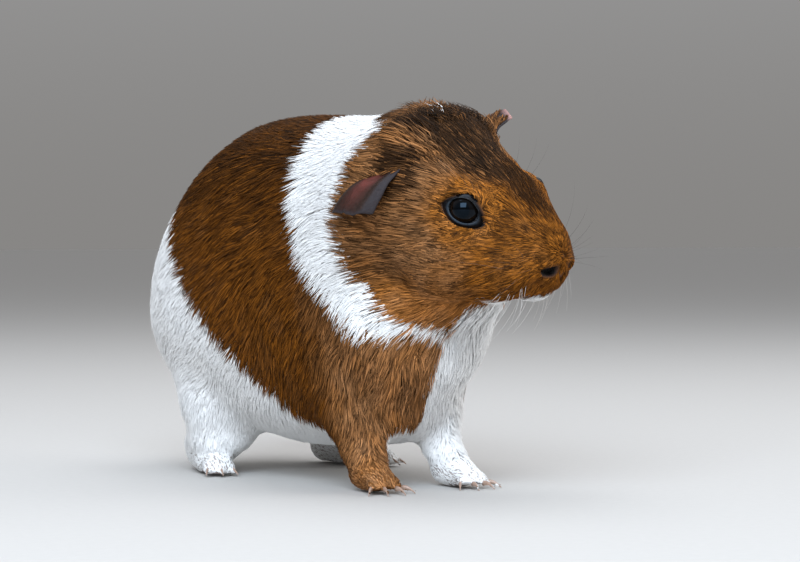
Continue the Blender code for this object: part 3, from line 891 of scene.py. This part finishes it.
for side, word in SIDES.items():
    bpy.ops.mesh.primitive_grid_add(x_subdivisions=28, y_subdivisions=20, size=2)
    ear = bpy.context.object
    laid, spots = [], []
    for across, share in (vertex_array(ear)[:, :2] + 1) / 2:
        out = -EAR_ROOT_REACH + (1 + EAR_ROOT_REACH) * share
        laid.append(ear_point(EARS[side], across, out))
        # where the grey painted highlight lies: along the front rim and the outer edge
        rim_glint = max(0.0, min((0.16 - across) / 0.06, 1), (out - 0.92) / 0.08)
        tip = max(0, out - 0.8) / 0.2 * max(0, 1 - across / 0.3) * (side == 1)
        inside = math.sin(math.pi * min(max((across - 0.24) / 0.6, 0), 1)) * (1 - max(0, out - 0.35) / 0.65)
        spots.append((min(rim_glint, 1) ** 1.3, tip, inside, 1))
    set_vertices(ear, from_head(np.array(laid) * np.array((1, side, 1))))
    store(ear, "ear_spot", "FLOAT_COLOR", np.clip(spots, 0, 1))
    apply_modifier(ear, "SOLIDIFY", thickness=EAR_THICK * MM, offset=0, use_even_offset=True)
    apply_modifier(ear, "SUBSURF", levels=1, render_levels=1)
    face_outward(ear)
    complete(ear, f"ear_leather_{word}", ear_material, [f"ear_{word}"])

# %% [markdown]
# ## The coat
# Hair this short can't be combed strand by strand, and particle hair isn't kept in an exported model. So the coat is
# made of small closed locks: a three-sided blade with its ridge outward, widest below the middle and ending in a
# point, as wide as the little clumps that real hair falls into. The first thing they need is the lie of the coat,
# which runs back from the nose, round the eyes, back and down over the flanks, down the legs, and over the toes.

# %% The lie of the coat
def coat_lie(world, normals):
    """The direction that the hair points in, for rows of points on the skin and its normals there."""
    x, y, z = (np.asarray(world) / MM).T
    points = to_head(world)
    lie = np.array((0.0, 0.80, -0.60))  # back and down over the flanks
    for direction, share in (
        ((0.0, 1.0, -0.05), smoothstep(0.55, 0.95, normals[:, 2])),  # back along the spine
        ((0.0, 0.35, -1.0), smoothstep(0.1, -0.5, normals[:, 1]) * smoothstep(75, 55, z)),  # down the chest
        ((0.0, 1.0, 0.0), smoothstep(-0.5, -0.85, normals[:, 2]) * smoothstep(-45, -30, y)),  # back under the belly
        ((0.0, 0.25, -1.0), smoothstep(36, 24, z) * smoothstep(9, 13, np.abs(x))),  # down the legs
    ):
        lie = blend(lie, np.array(direction), share[:, None])
    toes = np.column_stack([0.12 * np.sign(x), -np.ones(len(x)), -0.15 * np.ones(len(x))])
    lie = blend(lie, toes, smoothstep(11, 7, z)[:, None])
    # on the head the hair streams away from the nose, sinks a little over the cheeks, and parts round the eyes
    away = unit_rows(points - np.array((31.0, 0, -11.0))) + np.array((0, 0, -0.12))
    for side in SIDES:
        local = in_eye(points, side)
        flat = local * np.array((1, 0, 1))
        spread = unit_rows(flat) @ eye_axes(side)
        inward = np.minimum((away * spread).sum(1), 0.25)
        near = smoothstep(12.5, 7.5, np.linalg.norm(flat, axis=1)) * (np.linalg.norm(local, axis=1) < 16)
        away = away - spread * (inward * near * 1.25)[:, None] + spread * (0.12 * near)[:, None]
    head = unit_rows(away) @ HEAD_AXES
    lie = blend(unit_rows(lie), head, smoothstep(1.22, 0.86, head_oval(world))[:, None])
    return unit_rows(lie - normals * (lie * normals).sum(1)[:, None])

# %% [markdown]
# **Where the locks stand, and how long they are.** Hair is shortest on the nose and feet, seven to nine millimetres
# on the cheeks, and nine to ten and a half on the body. The density follows from the size of a lock, so that the
# coat lies several locks deep everywhere.

# %% Roots of the coat
COVER_HEAD = 6.8
COVER_BODY = 5.9
LOCK_FILL = 0.6  # the share that a lock fills of its length times its width
NAKED_FROM = 0.35
HEAD_STATIONS = [-34, -14, 0, 12, 20, 27]  # from the crown forward to the nose
HEAD_LENGTHS = [10.0, 8.8, 7.4, 5.9, 3.7, 2.0]
HEAD_WIDTHS = [0.45, 0.40, 0.36, 0.33, 0.29, 0.25]


def lock_size(world):
    """Length and width of a lock in millimetres, and how many locks deep the coat lies."""
    x, y, z = (np.asarray(world) / MM).T
    points = to_head(world)
    on_head = smoothstep(1.12, 0.95, head_oval(world))
    near_eye = smoothstep(14, 7, from_eye(points))
    leg = smoothstep(36, 18, z)
    foot = smoothstep(14, 8, z)
    length = 10.5 - 1.5 * smoothstep(100, 118, z)
    length = blend(length, blend(np.interp(points[:, 0], HEAD_STATIONS, HEAD_LENGTHS), 3.6, near_eye), on_head)
    length = blend(blend(length, 5.0, leg), 2.4, foot)
    width = 0.58 - 0.12 * (smoothstep(-4, -18, y) * smoothstep(48, 58, z))
    width = blend(width, blend(np.interp(points[:, 0], HEAD_STATIONS, HEAD_WIDTHS), 0.30, near_eye), on_head)
    width = blend(blend(width, 0.62, leg), 0.45, foot)
    return length, width, blend(COVER_BODY, COVER_HEAD, on_head) * (1 - 0.72 * foot)


skin.data.calc_loop_triangles()
corner_ids = rows_of(skin.data.loop_triangles, "vertices", 3, int)
loop_ids = rows_of(skin.data.loop_triangles, "loops", 3, int)
skin_uv = rows_of(skin.data.uv_layers["OFBake"].data, "uv", 2)
corners = skin_places[corner_ids]
areas = np.linalg.norm(np.cross(corners[:, 1] - corners[:, 0], corners[:, 2] - corners[:, 0]), axis=1) / 2 / MM**2
middles = corners.mean(1)
length, width, cover = lock_size(middles)
share = areas * cover / (LOCK_FILL * length * width) * (naked_share(middles) < NAKED_FROM)
total = int(share.sum())
ladder = np.cumsum(share) / share.sum()
steps = (np.arange(total) + rng.random(total)) / total
chosen = np.minimum(np.searchsorted(ladder, steps), len(ladder) - 1)
first, second = rng.random(total), rng.random(total)
fold = first + second > 1
first[fold], second[fold] = 1 - first[fold], 1 - second[fold]
mix = np.column_stack([1 - first - second, first, second])
roots = (corners[chosen] * mix[:, :, None]).sum(1)
root_uv = (skin_uv[loop_ids[chosen]] * mix[:, :, None]).sum(1)
root_normals = unit_rows((skin_normals()[corner_ids[chosen]] * mix[:, :, None]).sum(1))
print("locks:", total, "on", round(areas.sum() / 100), "square cm of skin", clock())

# %% [markdown]
# **Laying the locks.** Each lock is walked along the skin in two steps. After every step the nearest point of the
# skin is looked up, and the lock stands a little higher over it, up to the depth of the coat. Smooth noise turns
# neighbours together, so that they close into clumps with partings between. On the crown the locks stand up and
# swirl, between crown and ear they stand up, and at the throat they are longer and looser.

# %% Walk the locks along the skin
CLUMP = 4.5
WALK = ((0.40, 0.72), (0.60, 0.96))  # the part of its length that each step takes, and of its rise
ROOT_SUNK = 0.25
skin_lookup = BVHTree.FromPolygons([Vector(p) for p in skin_places], [tuple(p.vertices) for p in skin.data.polygons])
length, width, cover = lock_size(roots)
length = length * rng.uniform(0.75, 1.2, total)
width = width * rng.uniform(0.75, 1.25, total)
lie = coat_lie(roots, root_normals)
aside = np.cross(root_normals, lie)
wander = value_noise(roots / MM, CLUMP) * 0.55 + value_noise(roots / MM, CLUMP * 3, 9.1) * 0.35
wander = wander + rng.normal(0, 0.10, total)
wander = wander * (1 - 0.32 * smoothstep(1.1, 0.98, head_oval(roots)))
lie = unit_rows(lie + aside * wander[:, None])

root_head = to_head(roots)
crown = smoothstep(9.5, 5, np.hypot((root_head[:, 0] + 25) * 0.9, root_head[:, 1] * 0.75)) * (root_head[:, 2] > 12)
rise = coat_depth(roots) * (1 + 0.10 * value_noise(roots / MM, CLUMP * 0.8, 4.4)) * rng.uniform(0.86, 1.04, total)
tuft_places = np.column_stack([root_head[:, 0] + 20, np.abs(root_head[:, 1]) - 15, (root_head[:, 2] - 15) * 0.7])
ear_tuft = smoothstep(9, 3.5, np.linalg.norm(tuft_places, axis=1))
rise = rise + crown * rng.uniform(-0.4, 3.6, total) + ear_tuft * rng.uniform(0.0, 4.2, total)
length = length * (1 - 0.42 * crown)
throat = smoothstep(1.0, 0.3, egg(roots / MM, (12, -66, 58), (17, 17, 13)))
rise = rise + throat * rng.uniform(0.5, 4.5, total)
length = length * (1 + 0.35 * throat)
swirl = crown * rng.normal(0, 0.9, total)
lie = unit_rows(lie + aside * swirl[:, None])

spine_points = [roots - root_normals * ROOT_SUNK * MM]
spine_normals = [root_normals]
here, normal, heading = roots, root_normals, lie
for reach, lift in WALK:
    found = [skin_lookup.find_nearest(point) for point in here + heading * (length * reach * MM)[:, None]]
    here = np.array([place for place, _, _, _ in found])
    normal = unit_rows(0.5 * normal + 0.5 * np.array([turned for _, turned, _, _ in found]))
    heading = unit_rows(heading - normal * (heading * normal).sum(1)[:, None])
    spine_points.append(here + normal * (rise * lift * MM)[:, None])
    spine_normals.append(normal)
print("walked", total, "locks", clock())


def covers_naked(world):
    """True where a lock would lie over an eye or a nostril."""
    points = to_head(world)
    return (nostril_share(points) > 0.12) | (rim_reach(points, 1) < 1.0) | (rim_reach(points, -1) < 1.0)


shown = (spine_points[1] + spine_points[2]) / 2
clear = ~(covers_naked(spine_points[1]) | covers_naked(spine_points[2]) | covers_naked(shown))
print("cut away over eyes and nostrils:", int((~clear).sum()))

# %% [markdown]
# **Each lock's colour** is asked where its outer half lies, because that is the part that shows. Near a border every
# lock is either white or not, which gives the ragged edge of a real marking. Ticking is by lock too: some are nearly
# black, and most keep the ground colour with a dark tip.

# %% Colours of the locks
TICK_GRAIN = 2.2
shown_head = to_head(shown)
white, dark, orange = markings(shown)
snout = smoothstep(4, 16, shown_head[:, 0])
ragged = white + (1.7 * value_noise(shown / MM, 3.2, 2.7) + rng.normal(0, 0.8, total)) * (1 - 0.65 * snout)
white = smoothstep(-0.5, 0.5, ragged)
grain = value_noise(roots / MM, TICK_GRAIN, 5.5)
on_head = smoothstep(1.1, 0.98, head_oval(shown))
luck = 0.62 * rng.random(total) + 0.38 * np.clip(0.5 + 0.8 * grain, 0, 1)
sharp = smoothstep(-0.13, 0.13, dark - luck)
even = np.clip(dark + 0.30 * grain + 0.22 * value_noise(roots / MM, 8.0, 1.3) + rng.normal(0, 0.13, total), 0, 1)
tick = blend(even, sharp, 0.38 + 0.34 * on_head)
orange = np.clip(orange + rng.normal(0, 0.14, total) + 0.2 * grain, 0, 1)
crown_white = (egg(root_head, (-24.7, 0.9, 22.0), 1) < 2.2) & (rng.random(total) < 0.65)
white = np.where(crown_white, 1.0, white)
marks = np.column_stack([white, tick, orange, rng.random(total)])
tan_share = on_head * smoothstep(12, -8, shown_head[:, 0]) * 0.58
tan_share = tan_share + 0.55 * (1 - on_head) * smoothstep(-20, -36, shown[:, 1] / MM)
tan_share = tan_share * (1 - 0.8 * smoothstep(17, 9, from_eye(shown_head)))
tan_share = tan_share * (1 - 0.45 * on_head * smoothstep(-18, -30, shown_head[:, 2]))
tan_share = np.clip(tan_share + 0.25 * value_noise(shown / MM, 6.0, 7.7), 0, 1)
print("white locks:", int((white > 0.5).sum()), "dark locks:", int((tick > 0.6).sum()))

# %% [markdown]
# **The coat's material.** A brown lock is darkest at its foot, where it stands in the shade of the others, and many
# locks carry a dark tip. White hair is never quite white, but it has no dark foot. Fine streaks along each lock, three
# or four to its width, stand for its single hairs. Brown locks also differ in brightness from one to the next.

# %% Coat material
STREAKS = (2.2, 1.4, 40.0)  # how fast the noise runs across a lock, along it, and from lock to lock
coat_material, tree = new_material("short_glossy_animal_hair")
is_white, is_ticked, is_orange = split_colour(tree, attribute(tree, "coat_marks")["Color"])
lock = attribute(tree, "lock_spot")
along, across, luck = split_colour(tree, lock["Color"])
place = add_node(tree, "CombineXYZ", {"X": across, "Y": along, "Z": luck}).outputs["Vector"]
place = add_node(tree, "VectorMath", {0: place, 1: STREAKS}, operation="MULTIPLY").outputs["Vector"]
strands = add_node(tree, "TexNoise", {"Vector": place, "Scale": 1.6, "Detail": 3.0, "Roughness": 0.7}).outputs["Fac"]

dark_tip = stretched(tree, along, 0.5, 0.9, bend="SMOOTHSTEP")
dark_tip = reckoned(tree, "MULTIPLY", dark_tip, stretched(tree, luck, 1.0, 0.0, 0.0, 0.9))
ticked = reckoned(tree, "MAXIMUM", is_ticked, dark_tip)
tan = mixed(tree, is_orange, "#7d5a3c", "#b98a63")
tone = mixed(tree, lock["Alpha"], mixed(tree, is_orange, "#73420f", "#b87026"), tan)
tone = mixed(tree, ticked, tone, mixed(tree, strands, "#0f0702", "#241405"))
tone = mixed(tree, is_white, tone, mixed(tree, strands, "#faf9f7", "#ecebea"))

foot_shade = stretched(tree, along, 0.0, 0.45, 0.5, 1.0, bend="SMOOTHSTEP")
strand_shade = stretched(tree, strands, 0.25, 0.75, 0.66, 1.24)
luck_shade = stretched(tree, luck, 0.0, 1.0, 0.38, 1.38)
foot_shade = mixed_value(tree, is_white, foot_shade, 1.0)
strand_shade = mixed_value(tree, is_white, strand_shade, 0.97)
luck_shade = mixed_value(tree, is_white, luck_shade, 1.0)
shade = reckoned(tree, "MULTIPLY", reckoned(tree, "MULTIPLY", foot_shade, strand_shade), luck_shade)
close_material(tree, {
    "Base Color": mixed(tree, 1.0, tone, shade, blend_type="MULTIPLY"),
    "Roughness": 0.6,
    "Normal": bump(tree, strands, 0.5, 0.15),
    "Specular IOR Level": 0.06,
})

# %% [markdown]
# **From numbers to meshes.** All locks of one part of the body become one mesh, and a part with more than a given
# number of locks is cut into several. A lock has two rings of three corners and a tip.

# %% Build the coat
PATCH = 0.003  # the size of a lock on the colour map
PIECE_TRIANGLES = 170000
LOCK_FACES = [(0, 2, 1)]  # corners 0 to 2 are the ring at the root, 3 to 5 the next one, and 6 is the tip
for i, j in ((0, 1), (1, 2), (2, 0)):
    LOCK_FACES += [(i, j, 3 + j), (i, 3 + j, 3 + i), (3 + i, 3 + j, 6)]
RING_WIDTH = (0.7, 1.0)
RING_PLACE = (0.0, 0.4)
RIDGE = 0.8  # how high the ridge stands, in half widths of the lock
SHADE_TURN = 0.7  # how far the shading leans out to the sides, so that a lock looks round
REGIONS = ["head", "neck", "trunk"]
REGIONS += [f"{limb}_{word}" for limb in ("foreleg", "hindleg", "forefoot", "hindfoot") for word in SIDES.values()]


def region_of(world):
    """The number of the body part, in REGIONS, that each root belongs to."""
    x, y, z = (np.asarray(world) / MM).T
    region = np.full(len(x), REGIONS.index("trunk"))
    region[(y < -12) & (z > 44)] = REGIONS.index("neck")
    region[head_oval(world) < 1.03] = REGIONS.index("head")
    fore = (y < -14) & (z < 36) & (np.abs(x) > 5)
    hind = (y > 12) & (z < 38) & (np.abs(x) > 11)
    for limb, zone, foot_top in (("fore", fore, 9.5), ("hind", hind, 11)):
        for side, word in SIDES.items():
            mine = zone & (x * side > 0)
            region[mine] = REGIONS.index(f"{limb}leg_{word}")
            region[mine & (z < foot_top)] = REGIONS.index(f"{limb}foot_{word}")
    return region


def build_locks(name, coat, picked):
    """One closed mesh of the picked locks of a coat."""
    count = len(picked)
    middles = [rows[picked] for rows in coat["middles"]]
    normals = [rows[picked] for rows in coat["normals"]]
    marks = coat["marks"][picked]
    points, softened = np.empty((count, 7, 3)), np.empty((count, 7, 3))
    spots, patch_place = np.zeros((count, 7, 4)), np.zeros((count, 7, 2))
    half = coat["width"][picked] / 2 * MM
    onward = unit_rows(middles[2] - middles[0])
    for ring, (width_here, along) in enumerate(zip(RING_WIDTH, RING_PLACE)):
        across = unit_rows(np.cross(normals[ring], onward))
        ridge = np.cross(onward, across)
        spread = (half * width_here)[:, None]
        for number, (a, b) in enumerate(((-1, 0), (1, 0), (0, 1))):
            corner = ring * 3 + number
            points[:, corner] = middles[ring] + across * spread * a + ridge * spread * RIDGE * b
            softened[:, corner] = normals[ring] + across * (SHADE_TURN * a) + onward * 0.12
            spots[:, corner, :2] = (along, 0.5 + 0.5 * a)
            patch_place[:, corner] = (a * 0.5, along - 0.5)
    points[:, 6] = middles[2]
    softened[:, 6] = normals[2]
    spots[:, 6, :2] = (1, 0.5)
    spots[:, :, 2] = marks[:, 3][:, None]
    spots[:, :, 3] = coat["tan"][picked][:, None]
    patch_place[:, 6] = (0, 0.5)
    every = (np.array(LOCK_FACES)[None] + (np.arange(count) * 7)[:, None, None]).reshape(-1, 3)
    locks = new_mesh(name, points.reshape(-1, 3), every)
    uv = (coat["uv"][picked][:, None, :] + patch_place * PATCH).reshape(-1, 2)
    locks.data.uv_layers.new(name="OFBake").data.foreach_set("uv", uv[every.ravel()].ravel())
    store(locks, "coat_marks", "FLOAT_COLOR", np.repeat(marks, 7, axis=0))
    store(locks, "lock_spot", "FLOAT_COLOR", spots)
    complete(locks, name, coat_material)
    locks.data.normals_split_custom_set_from_vertices(unit_rows(softened.reshape(-1, 3)))
    return len(locks.data.polygons)


body_coat = dict(middles=spine_points, normals=spine_normals, width=width, marks=marks, uv=root_uv, tan=tan_share)
region = region_of(roots)
coat_triangles = 0
for number, part in enumerate(REGIONS):
    mine = np.flatnonzero((region == number) & clear)
    mine = mine[np.argsort(roots[mine, 1])]
    slot = f"{part}_skin" if "foot" in part else f"{part}_coat"
    pieces = max(1, math.ceil(len(mine) * len(LOCK_FACES) / PIECE_TRIANGLES))
    for piece, picked in enumerate(np.array_split(mine, pieces)):
        ending = f"_{piece + 1}" if pieces > 1 else ""
        coat_triangles += build_locks(f"coat_{part}{ending}", body_coat, picked)
print("coat:", coat_triangles, "triangles", clock())

# %% [markdown]
# **Hair on the ears.** The back of the raised ear is thinly furred, like velvet, up to its naked rim. The drooping
# ear has only a few short hairs at its root. Their places are picked across and out on the ear's own sheet, which is
# also the unwrap that they use.

# %% Hair on the ears
def ear_coat(side, count, furthest):
    """Short locks on the back of one ear, thinning out towards its rim."""
    across = rng.uniform(0.03, 0.97, count)
    ragged_end = 0.7 + 0.3 * np.sin(across * 23 + 1.0) * rng.uniform(0.4, 1.0, count)
    out = furthest * ragged_end * rng.random(count) ** 1.6
    feet, onward, outer = [], [], []
    for a, b in zip(across, out):
        here, ahead, beside = (ear_point(EARS[side], *spot) for spot in ((a, b), (a, b + 0.04), (a + 0.04, b)))
        lengthwise, sideways = (ahead - here).normalized(), (beside - here).normalized()
        face = lengthwise.cross(sideways).normalized()
        feet.append(here + face * (EAR_THICK / 2 - 0.05))
        onward.append((lengthwise + sideways * 0.35).normalized())
        outer.append(face)
    flip = np.array((1, side, 1))
    feet, onward, outer = (np.array(rows) * flip for rows in (feet, onward, outer))
    long = (1.5 + 1.5 * (1 - out) + rng.uniform(-0.4, 0.4, count))[:, None]
    middles = [feet, feet + onward * long * 0.45 + outer * 0.35, feet + onward * long + outer * 0.5]
    tick = np.clip(rng.normal(0.55, 0.3, count), 0, 1)
    marks = np.column_stack([np.zeros(count), tick, rng.uniform(0.1, 0.6, count), rng.random(count)])
    uv = np.column_stack([0.05 + 0.9 * across, 0.05 + 0.9 * out])
    return dict(middles=[from_head(rows) for rows in middles], normals=[outer @ HEAD_AXES] * 3,
                width=rng.uniform(0.3, 0.5, count), marks=marks, uv=uv, tan=np.full(count, 0.4))


for side, word, count, furthest in ((1, "left", 2600, 0.92), (-1, "right", 420, 0.2)):
    fur = ear_coat(side, count, furthest)
    build_locks(f"coat_ear_{word}", fur, np.arange(count))

# %% [markdown]
# ## Claws
# Each forefoot has four toes and each hind foot three. The claws are blunt horn, curved a little downward. A cone
# primitive is stretched, and bent along its length by moving its rings, for every toe.

# %% Claws
PLAN_HEAD = (8, -91, 92)  # where the plan of the feet has the middle of the head
PLAN_SHIFT = (HEAD_MIDDLE / MM - np.array(PLAN_HEAD)) * np.array((1, 1, 0))
FEET = {
    "forefoot": dict(heel=(15.5, -49), ball=(16, -57), ball_radius=5.6, toes=4, spread=25, length=8, radius=2.5,
                     claw=2.4, thick=1.25),
    "hindfoot": dict(heel=(25, 44), ball=(30, 27), ball_radius=6.4, toes=3, spread=19, length=9.5, radius=3.1,
                     claw=3.2, thick=1.5),
}
CLAW_TIP = 0.28
HORN_FIBRE = 0.4  # the grain of the horn, four times as long as wide
claw_material, tree = new_material("blunt_translucent_horn")
fibres = add_node(tree, "Mapping", {"Vector": own_place(tree), "Scale": (1.0, 0.25, 1.0)}).outputs["Vector"]
grain = noise_map(tree, fibres, HORN_FIBRE, Detail=2.0)
close_material(tree, {
    "Base Color": mixed(tree, grain, "#b99c8a", "#7d6557"),
    "Roughness": 0.35,
    "Normal": bump(tree, grain, 0.3, 0.1),
    "IOR": 1.55,
    "Subsurface Weight": 0.1,
    "Subsurface Radius": (0.001, 0.0006, 0.0004),
    "Subsurface Scale": 1.0,
})


def toe_ends(foot, side):
    """Where each toe ends and which way it points, in world millimetres."""
    heel = Vector((foot["heel"][0] * side, foot["heel"][1], 0))
    ball = Vector((foot["ball"][0] * side, foot["ball"][1], 0))
    forward = (ball - heel).normalized()
    ends = []
    for number in range(foot["toes"]):
        fan = math.radians((number - (foot["toes"] - 1) / 2) * foot["spread"])
        along = Matrix.Rotation(fan, 3, "Z") @ forward
        share = 1 - 0.35 * abs(fan) / math.radians(foot["spread"]) / foot["toes"]
        end = ball + along * (foot["ball_radius"] * 0.5 + foot["length"] * share)
        ends.append((np.array(end) + PLAN_SHIFT, np.array(along)))
    return ends


for kind, foot in FEET.items():
    for side, word in SIDES.items():
        claws = []
        for end, along in toe_ends(foot, side):
            long = foot["claw"] + foot["radius"] * 0.9
            bpy.ops.mesh.primitive_cone_add(vertices=14, radius1=foot["thick"] * 0.62, radius2=CLAW_TIP, depth=long)
            claw = bpy.context.object
            with edit_all(claw):
                bpy.ops.mesh.subdivide(number_cuts=4)
            points = vertex_array(claw)
            share = (points[:, 2] + long / 2) / long
            round_off = 1 - 0.35 * share**3
            sideways = np.array((-along[1], along[0], 0))
            drop = foot["radius"] - 0.6 - 1.5 * share**2 + 0.35 * np.sin(np.pi * share)
            forth = (share - 0.36) * long + foot["radius"] * 0.35
            laid = end + np.outer(forth, along) + np.outer(points[:, 0] * 0.8 * round_off, sideways)
            laid[:, 2] = np.maximum(drop + points[:, 1] * 1.15 * round_off, 0.05)
            set_vertices(claw, laid * MM)
            claws.append(claw)
        joined = join(*claws[1:], claws[0])
        face_outward(joined)
        complete(joined, f"claws_{kind}_{word}", claw_material)

# %% [markdown]
# ## Whiskers
# Whiskers are single stiff hairs, one to two and a half centimetres long, in rows on the pads beside the nose, with
# a few on the brow and the chin. Each is a tapered six-sided tube bent back and down, rooted in the skin.

# %% Whiskers
WHISKER_RINGS, WHISKER_SIDES = 12, 6
ROOT_DEEP = 0.4  # how deep a whisker is rooted in the skin
whisker_material, tree = new_material("stiff_tapered_whisker")
tone = mixed(tree, attribute(tree, "whisker_tone")["Fac"], "#1d140d", "#e9e4de")
close_material(tree, {"Base Color": tone, "Roughness": 0.6, "Specular IOR Level": 0.06})


def whisker_roots(side):
    """Roots, first directions, bends, lengths, thicknesses and tones."""
    for row in range(5):
        for column in range(4):
            place = np.array((24.2 - 2.6 * column - 0.5 * row, 14.0 * side, -10.8 - 2.5 * row))
            place = place + rng.normal(0, 0.7, 3)
            if row < 3:
                outward = np.array((0.52 - 0.20 * column, 0.66 * side, 0.42 - 0.26 * row))
                bend = np.array((-0.30, 0.05 * side, -0.12))
                long, thick, pale = (14 + 3.0 * column) * rng.uniform(0.8, 1.1), 0.038, rng.uniform(0.0, 0.15)
            else:
                outward = np.array((0.10 - 0.12 * column, 0.24 * side, -0.90))
                bend = np.array((-0.26, 0.10 * side, -0.12))
                long, thick, pale = (12 + 3.2 * column) * rng.uniform(0.8, 1.2), 0.045, 1.0
            yield place, outward + rng.normal(0, 0.13, 3), bend, long, thick, pale
    for number in range(3):
        yield (np.array((-4.0 + 2.5 * number, 15.0 * side, 9.0)), np.array((-0.1 + 0.2 * number, 0.55 * side, 0.75)),
               np.array((-0.3, 0.1 * side, -0.1)), rng.uniform(11, 16), 0.05, 0.1)
    for number in range(4):
        yield (np.array((20 - 2.5 * number, (3.5 + 1.2 * number) * side, -26.0)), np.array((0.0, 0.25 * side, -0.95)),
               np.array((-0.35, 0.1 * side, -0.1)), rng.uniform(9, 15), 0.05, 1.0)


run = np.linspace(0, 1, WHISKER_RINGS)[:, None]
vertices, faces, tones = [], [], []
for side in SIDES:
    for place, first, bend, long, thick, pale in whisker_roots(side):
        landed, face_normal, _, _ = skin_lookup.find_nearest(Vector(from_head(place)))
        root = to_head(np.array(landed) - np.array(face_normal) * ROOT_DEEP * MM)
        line = root + long * (run * (first / np.linalg.norm(first)) + run**2 * bend)
        base = len(vertices)
        for ring, middle in enumerate(line):
            onward = line[min(ring + 1, WHISKER_RINGS - 1)] - line[max(ring - 1, 0)]
            across = unit_rows(np.cross(onward, (0.3, 0.1, 1.0))[None])[0]
            other = unit_rows(np.cross(onward, across)[None])[0]
            radius = thick * (1 - 0.85 * ring / (WHISKER_RINGS - 1))
            for k in range(WHISKER_SIDES):
                turn = 2 * math.pi * k / WHISKER_SIDES
                vertices.append(middle + radius * (math.cos(turn) * across + math.sin(turn) * other))
                tones.append(pale)
        for ring in range(WHISKER_RINGS - 1):
            for k in range(WHISKER_SIDES):
                a = base + ring * WHISKER_SIDES + k
                b = base + ring * WHISKER_SIDES + (k + 1) % WHISKER_SIDES
                faces.append((a, b, b + WHISKER_SIDES, a + WHISKER_SIDES))
        faces.append(tuple(base + k for k in reversed(range(WHISKER_SIDES))))
        last = base + (WHISKER_RINGS - 1) * WHISKER_SIDES
        faces.append(tuple(last + k for k in range(WHISKER_SIDES)))
whiskers = new_mesh("whiskers", from_head(np.array(vertices)), faces)
store(whiskers, "whisker_tone", "FLOAT", tones)
face_outward(whiskers)
complete(whiskers, "whiskers", whisker_material)

# %% [markdown]
# ## Floor, light and camera
# A plain pale floor, a large soft lamp high behind the camera like a window, which also gives the eye its glint, a
# broad one overhead, a weak one at the side, and a sky that grows paler upwards. The camera stands low, at about two
# thirds of the animal's height.

# %% Floor and light
FLOOR_GRAIN = 3.0
FLOOR_SIZE = 30  # metres, so that no edge of it shows
bpy.ops.mesh.primitive_plane_add(size=FLOOR_SIZE)
floor = bpy.context.object
floor.name = "floor"
floor_material, tree = new_material("plain_matt_floor")
speckle = noise_map(tree, own_place(tree), FLOOR_GRAIN, Detail=3.0)
tone = mixed(tree, speckle, "#b9b6b2", "#bfbcb8")
close_material(tree, {"Base Color": tone, "Roughness": 0.75, "Specular IOR Level": 0.2})
floor.data.materials.append(floor_material)
floor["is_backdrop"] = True

world = bpy.data.worlds.new("pale_room")
bpy.context.scene.world = world
world.use_nodes = True
sky = world.node_tree
sky.nodes.clear()
height = add_node(sky, "SeparateXYZ", {"Vector": add_node(sky, "TexCoord").outputs["Generated"]}).outputs["Z"]
tone = mixed(sky, stretched(sky, height, 0.0, 0.35, bend="SMOOTHSTEP"), "#b7b5b3", "#f2f4f8")
glow = add_node(sky, "Background", {"Color": tone, "Strength": 0.52})
add_node(sky, "OutputWorld", {"Surface": glow.outputs["Background"]})


def soft_lamp(name, place, aim, size, energy, tint):
    """A rectangular lamp at a place, turned towards a point."""
    bpy.ops.object.light_add(type="AREA", location=place)
    lamp = bpy.context.object
    lamp.name = name
    lamp.data.shape = "RECTANGLE"
    lamp.data.size, lamp.data.size_y = size
    lamp.data.energy = energy
    lamp.data.color = linear(tint)[:3]
    lamp.rotation_euler = (Vector(aim) - Vector(place)).to_track_quat("-Z", "Y").to_euler()


MIDDLE = (0, -0.02, 0.06)
soft_lamp("window", (-0.80, -0.95, 0.85), MIDDLE, (1.15, 0.90), 32, "#e2f0ff")
soft_lamp("overhead", (0.1, 0.15, 1.2), (0, 0, 0.05), (1.2, 1.2), 11, "#f4f8ff")
soft_lamp("side", (0.95, -0.5, 0.5), MIDDLE, (0.7, 0.7), 4, "#ffffff")

# %% Camera and the size of the model
CAMERA_PLACE = (-0.42382, -0.7087, 0.08059)
CAMERA_TURN = (math.radians(89), 0, math.radians(-32))
CAMERA_SENSOR = 36  # millimetres
CAMERA_LENS = 111.375
bpy.ops.object.camera_add(location=CAMERA_PLACE, rotation=CAMERA_TURN)
camera = bpy.context.object
camera.data.sensor_width = CAMERA_SENSOR
camera.data.lens = CAMERA_LENS
bpy.context.scene.camera = camera
bpy.context.scene.view_settings.view_transform = "Standard"

visual_box = [list(corner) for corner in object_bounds()]
for axis, name in enumerate("xyz"):
    room = 0.03 * (cad_box[1][axis] - cad_box[0][axis]) + 0.010
    over = max(cad_box[0][axis] - visual_box[0][axis], visual_box[1][axis] - cad_box[1][axis])
    print(f"{name}: stands out {over / MM:.1f} of {room / MM:.1f} mm")
print("script seconds:", round(time.time() - started, 1))
